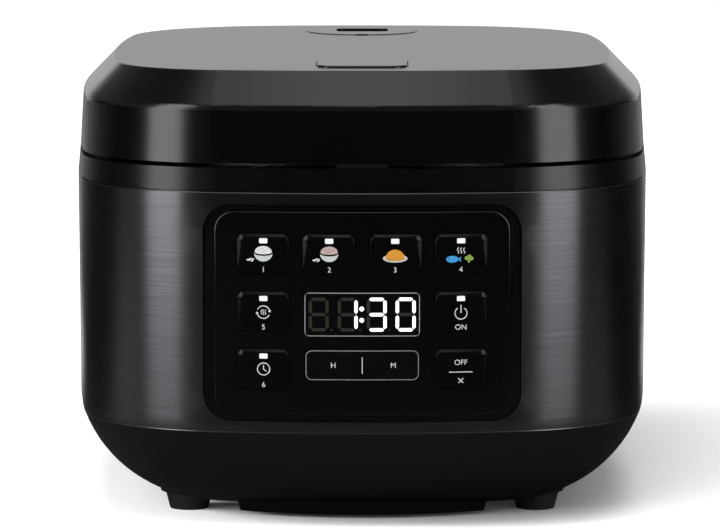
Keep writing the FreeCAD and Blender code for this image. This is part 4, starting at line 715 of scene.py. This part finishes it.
def steam(marks, sizes):
    """Steam over a blue fish and a green floret."""
    for across in (-1.4, 0.0, 1.4):
        wave = [(across + 0.34 * math.sin(i * 0.9), 0.2 + i * 0.34) for i in range(9)]
        marks.stroke(wave, sizes.stroke * 0.8)
    marks.patch(circle_points(-4.0, -2.5, 2.8, squash=0.56), MAIN)
    marks.patch([(-1.6, -2.5), (0.1, -3.8), (-0.3, -2.5), (0.1, -1.2)], MAIN)
    marks.patch(circle_points(-5.6, -2.15, 0.26), DARK, 1.5)
    for across, up, radius in ((2.6, -2.0, 0.95), (3.8, -1.5, 1.05), (4.7, -2.2, 0.95)):
        marks.patch(circle_points(across, up, radius), GREEN)
    marks.patch([(3.1, -4.1), (3.9, -4.1), (4.3, -2.3), (3.0, -2.3)], GREEN, 0.9)


def keep_warm(marks, sizes):
    """Two turning arrows round three warm waves."""
    radius, half_tip = 2.9, 0.75
    for start in (15, 195):
        marks.stroke(circle_points(0, 0, radius, start, start + 140), sizes.stroke)
        out_x, out_y = math.cos(math.radians(start)), math.sin(math.radians(start))
        inner, outer = radius - half_tip, radius + half_tip
        marks.patch([(radius * out_x + out_y, radius * out_y - out_x),
                     (outer * out_x, outer * out_y), (inner * out_x, inner * out_y)])
    for across in (-0.9, 0.0, 0.9):
        wave = [(across + 0.22 * math.sin(i * 1.1), i * 0.36 - 1.26) for i in range(8)]
        marks.stroke(wave, sizes.stroke * 0.62)


def power_sign(marks, sizes):
    """An open ring with an upright stroke."""
    marks.stroke(circle_points(0, -0.3, 2.75, 122, 418), sizes.stroke)
    marks.stroke([(0, 3.6), (0, -0.2)], sizes.stroke)


def clock(marks, sizes):
    """A ring with two hands."""
    marks.stroke(circle_points(0, 0, 2.8), sizes.stroke, closed=True)
    marks.stroke([(0, 1.8), (0, 0), (1.25, -1.05)], sizes.stroke)


def off_sign(marks, sizes):
    """OFF over a level line and a cross."""
    x, y = marks.middle
    marks.letters("OFF", x, y + 3.1 * MM, sizes.letter)
    marks.stroke([(-5.4, -1.4), (5.4, -1.4)], sizes.stroke * 0.9)
    for rise in (1.1, -1.1):
        marks.stroke([(-1.1, -5.4 - rise), (1.1, -5.4 + rise)], sizes.stroke)


# Each key's picture, how far it sits below the key's middle in millimetres, and its inks.
PICTURES = {
    "program_key_1": (bowl, 0.0, "white", "white", "white", "dark", "china"),
    "program_key_2": (bowl, 0.0, "white", "husk", "white", "dark", "china"),
    "program_key_3": (plate, 0.0, "white", "gold", "leaf", "dark", "china"),
    "program_key_4": (steam, 0.0, "white", "water", "leaf", "dark"),
    "keep_warm_key": (keep_warm, 0.3, "white"),
    "start_key": (power_sign, 0.5, "white"),
    "timer_key": (clock, 0.0, "white"),
    "cancel_key": (off_sign, 0.0, "white"),
}


def bar_outline(x, y, length, thick, upright):
    """The pointed outline of one bar of a digit."""
    half = length / 2
    point = thick / 2
    flat = [(-half, 0.0), (point - half, -point), (half - point, -point),
            (half, 0.0), (half - point, point), (point - half, point)]
    if upright:
        flat = [(-b, a) for a, b in flat]
    return [(x + a, y + b) for a, b in flat]


class CookerStep:
    """What every step of the cooker shares."""

    bl_options = {"REGISTER", "UNDO"}

    def execute(self, context):
        self.make(context.scene.cooker_colours, context.scene.cooker_sizes)
        return {"FINISHED"}


class COOKER_OT_shell(CookerStep, bpy.types.Operator):
    """Finish the lid, rim, sleeve, base and feet"""

    bl_idname = "cooker.shell"
    bl_label = "Shell"

    def make(self, colours, sizes):
        lid = moulding("lid_gloss", colours.lid, 0.21, 0.003, 0.0015, 4e-7)
        finish_nodes(lid, "lid_cover", "open_button", "steam_cap", "steam_tray")
        rim = moulding("rim_satin", colours.rim, 0.27, 0.008, 0.0009, 6e-7, 0.42)
        finish_nodes(rim, "upper_rim")
        steel = brushed("black_brushed_steel", colours.steel, 0.30, 0.0004, 0.035, 0.16, 0.75)
        finish_nodes(steel, "outer_sleeve")
        base = moulding("base_grained", colours.base, 0.42, 0.04, 0.00045, 9e-6, 0.28)
        finish_nodes(base, "base_housing", "bottom_cover", "hinge_housing", "lid_frame")
        rubber = moulding("foot_rubber", (0.010, 0.010, 0.010), 0.72, 0.06, 0.0006, 1.4e-5)
        finish_nodes(rubber, "rubber_feet")


class COOKER_OT_hem(CookerStep, bpy.types.Operator):
    """Roll a fine bright hem along the sleeve's upper and lower edges"""

    bl_idname = "cooker.hem"
    bl_label = "Sleeve hems"

    # How much brighter a hem is than the sleeve, and how far its middle sits in from the sleeve's
    # face and from its edge, as shares of the hem's radius.
    BRIGHTER, INWARD, FROM_EDGE = 1.6, 0.55, 0.8

    def make(self, colours, sizes):
        bright = tuple(self.BRIGHTER * c for c in colours.steel)
        steel = brushed("hem_steel", bright, 0.26, 0.0003, 0.03, 0.10)
        turns = [math.radians(360 * j / HEM_STEPS) for j in range(HEM_STEPS)]
        for name, side in (("upper", 1), ("lower", -1)):
            hem = Marks(f"sleeve_hem_{name}", "base", None, 0.0, (steel,), "black_steel")
            loop = self.edge(side)
            count = len(loop)
            inset = Vector((0, 0, side * sizes.hem * self.FROM_EDGE))
            rings = []
            for i, place in enumerate(loop):
                along = (loop[(i + 1) % count] - loop[i - 1]).normalized()
                out = Vector((along.y, -along.x, 0.0)) * side
                middle = place - out * sizes.hem * self.INWARD - inset
                rings.append([middle + sizes.hem * (math.cos(t) * out + Vector((0, 0, math.sin(t))))
                              for t in turns])
            hem.tube(rings)
            hem.finished(smooth=True)

    def edge(self, side):
        """The outer line of the sleeve's upper edge, or of its lower one where side is -1."""
        level_least, upright_most, edge_depth = 0.9, 0.5, 0.2 * MM
        shape = bmesh.new()
        shape.from_mesh(NODES["outer_sleeve"].data)
        bmesh.ops.remove_doubles(shape, verts=shape.verts, dist=SAME_PLACE)
        end = max(side * v.co.z for v in shape.verts)
        steps = {}
        for face in shape.faces:
            rise = side * face.calc_center_median().z
            if side * face.normal.z < level_least or rise < end - edge_depth:
                continue
            for corner in face.loops:
                other = corner.link_loop_radial_next.face
                if abs(other.normal.z) < upright_most:
                    steps[corner.vert.index] = corner.link_loop_next.vert.index
        shape.verts.ensure_lookup_table()
        loops = []
        while steps:
            start = place = next(iter(steps))
            loop = []
            while place in steps:
                loop.append(shape.verts[place].co.copy())
                place = steps.pop(place)
            if place != start:
                raise RuntimeError("the sleeve's edge isn't closed")
            loops.append(loop)
        shape.free()
        return max(loops, key=lambda loop: max(v.x for v in loop))


class COOKER_OT_painted_notch_shade(CookerStep, bpy.types.Operator):
    """Lay a flat matte patch of painted shade on the lid, in front of the steam cap, standing for a
    small finger notch
    """

    bl_idname = "cooker.cap_notch"
    bl_label = "Cap notch"

    def make(self, colours, sizes):
        # No notch is cut: its shade is painted as a dark matte patch lying on the lid top.
        shade = new_finish("notch_shade", roughness=0.9, specular=0.0)
        mottle(shade, grain(shade, 0.002, 3.0), tuple(4 * c for c in colours.lid), 0.1)
        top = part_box("lid_cover")[1].z
        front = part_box("steam_cap")[0].y - sizes.notch_shade_depth

        def on_lid(x, y, lift):
            return Vector((x, y, top + lift))

        notch = Marks("cap_notch", "lid", on_lid, sizes.lift, (shade,))
        notch.fill(rounded_points(0.0, front, sizes.notch_shade_width, sizes.notch_shade_depth,
                                  0.45 * sizes.notch_shade_depth))
        notch.finished()


class COOKER_OT_panel_finish(CookerStep, bpy.types.Operator):
    """Finish the panel plate, its surround, the rocker, the plain keys and the window"""

    bl_idname = "cooker.panel_finish"
    bl_label = "Panel finish"

    def make(self, colours, sizes):
        surround = moulding("surround_black", colours.rim, 0.24, 0.03, 0.0012, 3e-6)
        finish_nodes(surround, "panel_bezel")
        gloss = moulding("panel_gloss", colours.panel, 0.12, 0.03, 0.004, 2e-6)
        finish_nodes(gloss, "panel_plate")
        rocker = moulding("rocker_gloss", colours.key, 0.17, 0.02, 0.003, 1e-6)
        finish_nodes(rocker, "time_rocker", *ALL_KEYS)
        window = moulding("smoked_window", colours.panel, 0.07, 0.02, 0.005, 1e-6)
        finish_nodes(window, "display_window")


class COOKER_OT_inside(CookerStep, bpy.types.Operator):
    """Finish the pot, the lining, the heater, the latch and the works"""

    bl_idname = "cooker.inside"
    bl_label = "Inside"

    def make(self, colours, sizes):
        finish_nodes(coated("pot_coating", colours.pot), "inner_pot")
        finish_nodes(turned_metal("spun_aluminium", (0.80, 0.80, 0.81), 0.46), "inner_lid",
                     "temperature_sensor")
        soft = moulding("silicone_skin", colours.silicone, 0.50, 0.06, 0.0012, 6e-6)
        finish_nodes(soft, "lid_gasket", "inner_lid_knob", "steam_duct")
        steel = brushed("liner_steel", (0.48, 0.48, 0.49), 0.30, 0.0006, 0.03, 0.12)
        finish_nodes(steel, "inner_liner")
        finish_nodes(turned_metal("cast_heater", (0.52, 0.52, 0.53), 0.50, 0.0014),
                     "heater_plate", "heater_element")
        finish_nodes(foil_finish(), "warming_band")
        zinc = plated("zinc_plate", (0.56, 0.57, 0.59), 0.30)
        finish_nodes(zinc, "bottom_cover_screws", "carrier_screws", "hinge_pin", "hinge_screws",
                     "hook_pin", "lid_screws", "liner_screws", "sensor_bracket", "sensor_clip",
                     "strike_plate")
        finish_nodes(plated("spring_wire", (0.40, 0.40, 0.41), 0.26), "hinge_spring",
                     "hook_spring", "sensor_spring")
        finish_nodes(plated("pin_brass", (0.72, 0.52, 0.22), 0.25), "inlet_pins")
        finish_nodes(plated("fuse_case", (0.55, 0.52, 0.46), 0.30), "thermal_fuse")
        finish_nodes(moulding("latch_plastic", (0.10, 0.10, 0.105), 0.38, 0.05, 0.0009, 4e-6),
                     "latch_hook")
        finish_nodes(moulding("carrier_plastic", (0.055, 0.055, 0.058), 0.50, 0.05, 0.0007, 6e-6),
                     "board_bracket", "board_carrier")
        finish_nodes(moulding("inlet_plastic", (0.009, 0.009, 0.009), 0.40, 0.05, 0.0006, 6e-6),
                     "inlet_socket")
        finish_nodes(circuit_finish(), "control_board", "power_board")
        finish_nodes(moulded_parts_finish(), "display_module", "indicator_lamps",
                     "power_components", "tact_switches")


class COOKER_OT_keys(CookerStep, bpy.types.Operator):
    """Shape each push key: a face that leans out at the top, with sloping shoulders"""

    bl_idname = "cooker.keys"
    bl_label = "Push keys"

    # In millimetres: how deep the rings of a key's skirt lie, how far in from its outline the
    # rings of its front lie, its smallest corner, how low its shoulders start, and how round
    # the turn from shoulder to face is.
    SKIRT = (2.6, 1.2)
    INSETS = (0.0, 0.08, 0.2, 0.4, 0.65, 0.9, 1.15, 1.4, 1.65, 1.9, 2.15, 2.4, 2.65, 3.0, 3.6,
              4.5, 5.5, 6.5, 7.5, 8.5)
    LEAST_CORNER, START_DROP, TURN = 0.2, 0.12, 0.10

    def make(self, colours, sizes):
        gloss = moulding("key_gloss", colours.key, 0.17, 0.02, 0.003, 1e-6, 0.16)
        lay = on_panel(PLATE_RADIUS)
        for key in ALL_KEYS:
            x, y = middle_of(key)
            marks = Marks(f"{key}_shape", f"{key}_cap", lay, 0.0, (gloss,), "panel_black")
            outline = rounded_points(x, y, sizes.key_width, sizes.key_height, sizes.key_corner,
                                     SIDE_STEPS)
            rings = [[lay(a, b, -depth * MM) for a, b in outline] for depth in self.SKIRT]
            rings += [self.ring(lay, x, y, inset * MM, sizes) for inset in self.INSETS]
            marks.skin(rings)
            piece = marks.finished(smooth=True)
            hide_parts(key)

    def ring(self, lay, x, y, inset, sizes):
        """One ring of a key's front, at a distance in from its outline."""
        corner = max(sizes.key_corner - inset, self.LEAST_CORNER * MM)
        width, height = sizes.key_width - 2 * inset, sizes.key_height - 2 * inset
        ring = []
        for across, up in rounded_points(x, y, width, height, corner, SIDE_STEPS):
            aside = (across - x) / (sizes.key_width / 2 - sizes.key_corner)
            outward = math.copysign(aside, x * (across - x))
            outward = min(max(outward, -1.0), 1.0)
            slope = sizes.key_inner + (outward + 1) / 2 * (sizes.key_slope - sizes.key_inner)
            share = (up - y - sizes.key_height / 2 + sizes.key_corner) / sizes.key_corner
            slope += min(max(share, 0.0), 1.0) * (sizes.key_brow - slope)
            shoulder = inset * math.tan(slope) - self.START_DROP * MM
            face = key_face(up - y, sizes)
            rise = (face + shoulder - math.hypot(face - shoulder, self.TURN * MM)) / 2
            ring.append(lay(across, up, rise))
        return ring


class COOKER_OT_key_marks(CookerStep, bpy.types.Operator):
    """Print a mark and a plain label on each key"""

    bl_idname = "cooker.key_marks"
    bl_label = "Key marks"

    def make(self, colours, sizes):
        paints = {"white": colours.ink, "dark": colours.unlit}
        for name in ("china", "husk", "gold", "leaf", "water"):
            paints[name] = getattr(colours, name)
        inks = {name: ink_finish(f"ink_{name}", rgb) for name, rgb in paints.items()}
        for key in ALL_KEYS:
            x, y = middle_of(key)
            picture, drop, *names = PICTURES[key]
            finishes = [inks[name] for name in names]
            marks = Marks(f"{key}_marks", f"{key}_cap", on_key(y, sizes), sizes.lift, finishes,
                          middle=(x, y - drop * MM))
            picture(marks, sizes)
            if key in LABELS:
                marks.letters(LABELS[key], x, y - sizes.label_drop, sizes.letter)
            marks.finished()


class COOKER_OT_lamps(CookerStep, bpy.types.Operator):
    """Set a small lamp window in each key that has one"""

    bl_idname = "cooker.lamps"
    bl_label = "Lamp windows"

    def make(self, colours, sizes):
        lens = glow_finish("lamp_lens", colours.lamp, 0.62, (0.35, 0.35, 0.35))
        corner = 0.45 * MM
        for key in LABELS:
            x, y = middle_of(key)
            marks = Marks(f"{key}_lamp", f"{key}_cap", on_key(y, sizes), sizes.lift * 2, (lens,))
            marks.fill(rounded_points(x, y + sizes.lamp_rise, sizes.lamp_width,
                                      sizes.lamp_height, corner))
            marks.finished()


class COOKER_OT_display(CookerStep, bpy.types.Operator):
    """Draw the display's bars, colon and frame line on the window"""

    bl_idname = "cooker.display"
    bl_label = "Display"

    # In millimetres: the gap between bars, then a point's place from its digit's lower right bar
    # and its radius, the colon's place across, its rise and its radius, and the frame's corner.
    GAP = 0.8
    POINT_OUT, POINT_DROP, POINT_RADIUS = 1.9, 0.1, 0.5
    COLON_ACROSS, COLON_RISE, COLON_RADIUS = -0.2, 2.6, 1.05
    CORNER = 1.5

    def make(self, colours, sizes):
        x, y = middle_of("display_window")
        low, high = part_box("display_window")
        lit = glow_finish("bar_lit", colours.lit, 1.0, (0.8, 0.8, 0.8))
        unlit = ink_finish("bar_unlit", colours.unlit)
        edge = ink_finish("frame_line", (0.26, 0.26, 0.26))
        lay = on_panel(WINDOW_RADIUS)
        bars = Marks("display_bars", "base", lay, sizes.lift, (unlit, lit), middle=(x, y))
        across = sizes.digit_width / 2 - sizes.bar / 2
        tall = sizes.digit_height / 2 - sizes.bar / 2
        places = {
            "a": (0, tall, False), "b": (across, tall / 2, True), "c": (across, -tall / 2, True),
            "d": (0, -tall, False), "e": (-across, -tall / 2, True), "f": (-across, tall / 2, True),
            "g": (0, 0, False),
        }
        for digit, shown in enumerate(DISPLAY):
            middle = x + (digit - 1.5) * sizes.digit_pitch
            for name in BARS:
                out, up, upright = places[name]
                length = (tall if upright else 2 * across) - self.GAP * MM
                outline = bar_outline(middle + out, y + up, length, sizes.bar, upright)
                bars.fill(outline, 1 if name in shown else 0)
            bars.fill(circle_points(middle + across + self.POINT_OUT * MM,
                                    y - tall - self.POINT_DROP * MM, self.POINT_RADIUS * MM), 0)
        for up in (self.COLON_RISE, -self.COLON_RISE):
            bars.patch(circle_points(self.COLON_ACROSS, up, self.COLON_RADIUS), 1)
        bars.finished()
        line = Marks("window_line", "base", lay, sizes.lift, (edge,))
        inset = WINDOW_BRIM + sizes.frame_line
        line.line(rounded_points(x, y, high.x - low.x - inset, high.z - low.z - inset,
                                 self.CORNER * MM), sizes.frame_line, closed=True)
        line.finished()


class COOKER_OT_rocker_marks(CookerStep, bpy.types.Operator):
    """Draw the rocker's frame line, divider and letters"""

    bl_idname = "cooker.rocker_marks"
    bl_label = "Rocker marks"

    # In millimetres: how much smaller the frame line is than the rocker's face, its corner, the
    # divider's half length, and how far across each letter stands.
    INSET, CORNER, DIVIDER = 0.75, 2.6, 3.8
    LETTERS = {"H": -13.2, "M": 14.2}

    def make(self, colours, sizes):
        x, y = middle_of("time_rocker")
        low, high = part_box("time_rocker")
        edge = ink_finish("rocker_line", (0.20, 0.20, 0.20))
        white = ink_finish("rocker_ink", colours.ink)
        marks = Marks("time_rocker_marks", "rocker", on_panel(ROCKER_RADIUS), sizes.lift,
                      (edge, white), middle=(x, y))
        inset = self.INSET * MM
        outline = rounded_points(x, y, high.x - low.x - inset, sizes.rocker_height - inset,
                                 self.CORNER * MM)
        marks.line(outline, sizes.frame_line * 0.9, closed=True)
        marks.stroke([(0, self.DIVIDER), (0, -self.DIVIDER)], sizes.stroke * 0.8, 1)
        for letter, across in self.LETTERS.items():
            marks.letters(letter, x + across * MM, y, sizes.letter, 1)
        marks.finished()


class COOKER_OT_pot_marks(CookerStep, bpy.types.Operator):
    """Print numbered water lines on the inner wall of the pot"""

    bl_idname = "cooker.pot_marks"
    bl_label = "Pot marks"

    # Where the two scales stand, in degrees from the back, and in millimetres: the lowest line
    # above the pot's foot, the half lengths of lines in turn, their width, and the numbers.
    BEARINGS = {"left": -62, "right": 62}
    LOWEST, HALVES, WIDTH, NUMBER = 26, (6.0, 9.0), 0.7, 4.0

    def make(self, colours, sizes):
        low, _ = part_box("inner_pot")
        pale = ink_finish("pot_ink", (0.50, 0.50, 0.50))
        width, number_height = self.WIDTH * MM, self.NUMBER * MM
        bottom = low.z + self.LOWEST * MM
        top = bottom + (sizes.pot_lines - 1) * sizes.pot_step
        for side, bearing in self.BEARINGS.items():
            marks = Marks(f"pot_marks_{side}", "pot", in_pot(math.radians(bearing)), sizes.lift,
                          (pale,), "coated_pot")
            for number in range(sizes.pot_lines):
                up = bottom + number * sizes.pot_step
                half = self.HALVES[number % 2] * MM
                marks.line([(-half, up), (half, up)], width)
                marks.letters(str(number + 1), half + number_height, up, number_height)
            marks.line([(0.0, bottom), (0.0, top)], width)
            marks.finished()


def soft_box(name, place, aim, width, height, power):
    """A rectangular lamp that points at a place and isn't seen itself."""
    data = bpy.data.lights.new(name, "AREA")
    data.shape = "RECTANGLE"
    data.size = width
    data.size_y = height
    data.energy = power
    lamp = bpy.data.objects.new(name, data)
    lamp.location = place
    lamp.rotation_euler = (Vector(aim) - Vector(place)).to_track_quat("-Z", "Y").to_euler()
    lamp.visible_camera = False
    bpy.context.scene.collection.objects.link(lamp)
    return lamp


class COOKER_OT_stage(bpy.types.Operator):
    """Set up the floor, the lamps, the white surroundings and the camera"""

    bl_idname = "cooker.stage"
    bl_label = "Studio"

    def execute(self, context):
        studio = context.scene.cooker_studio
        context.scene.view_settings.view_transform = "Standard"
        floor = self.floor(context.scene, studio)
        self.surroundings(context.scene, studio)
        lit = bpy.data.collections.new("lit_by_floor_lamps")
        lit.objects.link(floor)
        for name, setting in SOFT_BOXES.items():
            lamp = soft_box(name, *setting, getattr(studio, name))
            if name in FLOOR_LAMPS:
                lamp.light_linking.receiver_collection = lit
        self.camera(context.scene, studio)
        return {"FINISHED"}

    def floor(self, scene, studio):
        """A wide pale floor, whiter away from the cooker, dim in reflections but for patches."""
        material = new_finish("floor_white", roughness=0.9, specular=0.1, glow_colour=(1, 1, 1))
        mottle(material, grain(material, 0.25, 4.0), scene.cooker_colours.floor, 0.006)
        tree = material.node_tree
        path = add_node(tree, "LightPath").outputs
        place = add_node(tree, "TexCoord").outputs["Object"]
        reach = length_of(tree, place)
        glow = mapped(tree, reach, GLOW_REACH, studio.floor_glow)
        feed(material, joined(tree, "MULTIPLY", glow, path["Is Camera Ray"]), "Emission Strength")
        parts = add_node(tree, "SeparateXYZ", place)
        aside, back = without_sign(tree, parts.outputs["X"]), parts.outputs["Y"]
        near_back = joined(tree, "MULTIPLY", mapped(tree, aside, BACK_ASIDE),
                           mapped(tree, back, BACK_NEAR))
        sides = joined(tree, "MULTIPLY", mapped(tree, aside, SIDE_INNER),
                       mapped(tree, aside, SIDE_OUTER), mapped(tree, back, SIDE_FRONT),
                       mapped(tree, back, SIDE_BACK))
        shown = joined(tree, "MAXIMUM", near_back, mapped(tree, back, BACK_FAR),
                       scaled(tree, sides, 0.0, SIDE_SHARE))
        dark = joined(tree, "MULTIPLY", path["Is Glossy Ray"], scaled(tree, shown, 1.0, 0.0))
        unlit = add_node(tree, "BsdfDiffuse", ramp(tree, reach, DARK_SHADES))
        mix = add_node(tree, "MixShader", dark, shader_of(material).outputs["BSDF"],
                       unlit.outputs["BSDF"])
        tree.links.new(mix.outputs["Shader"], tree.nodes["Material Output"].inputs["Surface"])
        shape = bmesh.new()
        bmesh.ops.create_grid(shape, x_segments=12, y_segments=12, size=FLOOR_HALF)
        floor = new_piece("studio_floor", shape, (material,))
        return floor

    def surroundings(self, scene, studio):
        """White to the camera, even light, and a dim room with white behind in reflections."""
        world = bpy.data.worlds.new("studio_surroundings")
        world.use_nodes = True
        scene.world = world
        tree = world.node_tree
        parts = add_node(tree, "SeparateXYZ", add_node(tree, "TexCoord").outputs["Generated"])
        back, up = parts.outputs["Y"], parts.outputs["Z"]
        aside = without_sign(tree, parts.outputs["X"])
        sweep = joined(tree, "MULTIPLY", mapped(tree, back, SWEEP_BACK), mapped(tree, up, SWEEP_UP))
        overhead = joined(tree, "MULTIPLY", mapped(tree, aside, OVERHEAD_ASIDE),
                          mapped(tree, up, OVERHEAD_UP))
        room = scaled(tree, mapped(tree, up, CEILING_UP), studio.dim, studio.ceiling)
        wall = scaled(tree, mapped(tree, aside, WALL_ASIDE), studio.corners, studio.walls)
        walls = joined(tree, "MULTIPLY", mapped(tree, up, WALL_FOOT), mapped(tree, up, WALL_TOP),
                       wall)
        pattern = joined(tree, "MAXIMUM", scaled(tree, sweep, 0.0, studio.sweep),
                         scaled(tree, overhead, 0.0, studio.overhead), room, walls)
        path = add_node(tree, "LightPath").outputs
        glossy = path["Is Glossy Ray"]
        strength = joined(tree, "MAXIMUM", path["Is Camera Ray"], path["Is Transmission Ray"],
                          joined(tree, "MULTIPLY", pattern, glossy),
                          scaled(tree, glossy, studio.fill, 0.0))
        shader = tree.nodes["Background"]
        shader.inputs["Color"].default_value = (1.0, 1.0, 1.0, 1.0)
        tree.links.new(strength, shader.inputs["Strength"])

    def camera(self, scene, studio):
        """The camera stands in front, a little above, and looks slightly down."""
        data = bpy.data.cameras.new("front_camera")
        data.lens = studio.lens
        data.sensor_width = SENSOR_WIDTH
        data.shift_x = CAMERA_SHIFT
        camera = bpy.data.objects.new("front_camera", data)
        camera.location = (0.0, -studio.camera_back, studio.camera_up)
        camera.rotation_euler = (math.radians(90) - studio.camera_tilt, 0.0, 0.0)
        scene.collection.objects.link(camera)
        scene.camera = camera


STEPS = (COOKER_OT_shell, COOKER_OT_hem, COOKER_OT_painted_notch_shade, COOKER_OT_panel_finish,
         COOKER_OT_inside, COOKER_OT_keys, COOKER_OT_key_marks, COOKER_OT_lamps,
         COOKER_OT_display, COOKER_OT_rocker_marks, COOKER_OT_pot_marks, COOKER_OT_stage)
GROUPS = {"cooker_colours": CookerColours, "cooker_sizes": CookerSizes,
          "cooker_studio": CookerStudio}


class COOKER_PT_steps(bpy.types.Panel):
    """The cooker's steps and settings"""

    bl_idname = "COOKER_PT_steps"
    bl_label = "Rice cooker"
    bl_space_type = "VIEW_3D"
    bl_region_type = "UI"
    bl_category = "Cooker"

    def draw(self, context):
        for name, group in GROUPS.items():
            box = self.layout.box()
            for setting in group.__annotations__:
                box.prop(getattr(context.scene, name), setting)
        for step in STEPS:
            self.layout.operator(step.bl_idname)


def register():
    for group in (*GROUPS.values(), *STEPS, COOKER_PT_steps):
        bpy.utils.register_class(group)
    for name, group in GROUPS.items():
        setattr(bpy.types.Scene, name, PointerProperty(type=group))


def unregister():
    for name in GROUPS:
        delattr(bpy.types.Scene, name)
    for group in (COOKER_PT_steps, *reversed(STEPS), *GROUPS.values()):
        bpy.utils.unregister_class(group)


def main():
    """Register the steps and run them in order."""
    register()
    for step in STEPS:
        getattr(bpy.ops.cooker, step.bl_idname.split(".")[1])()


if __name__ == "__main__":
    main()
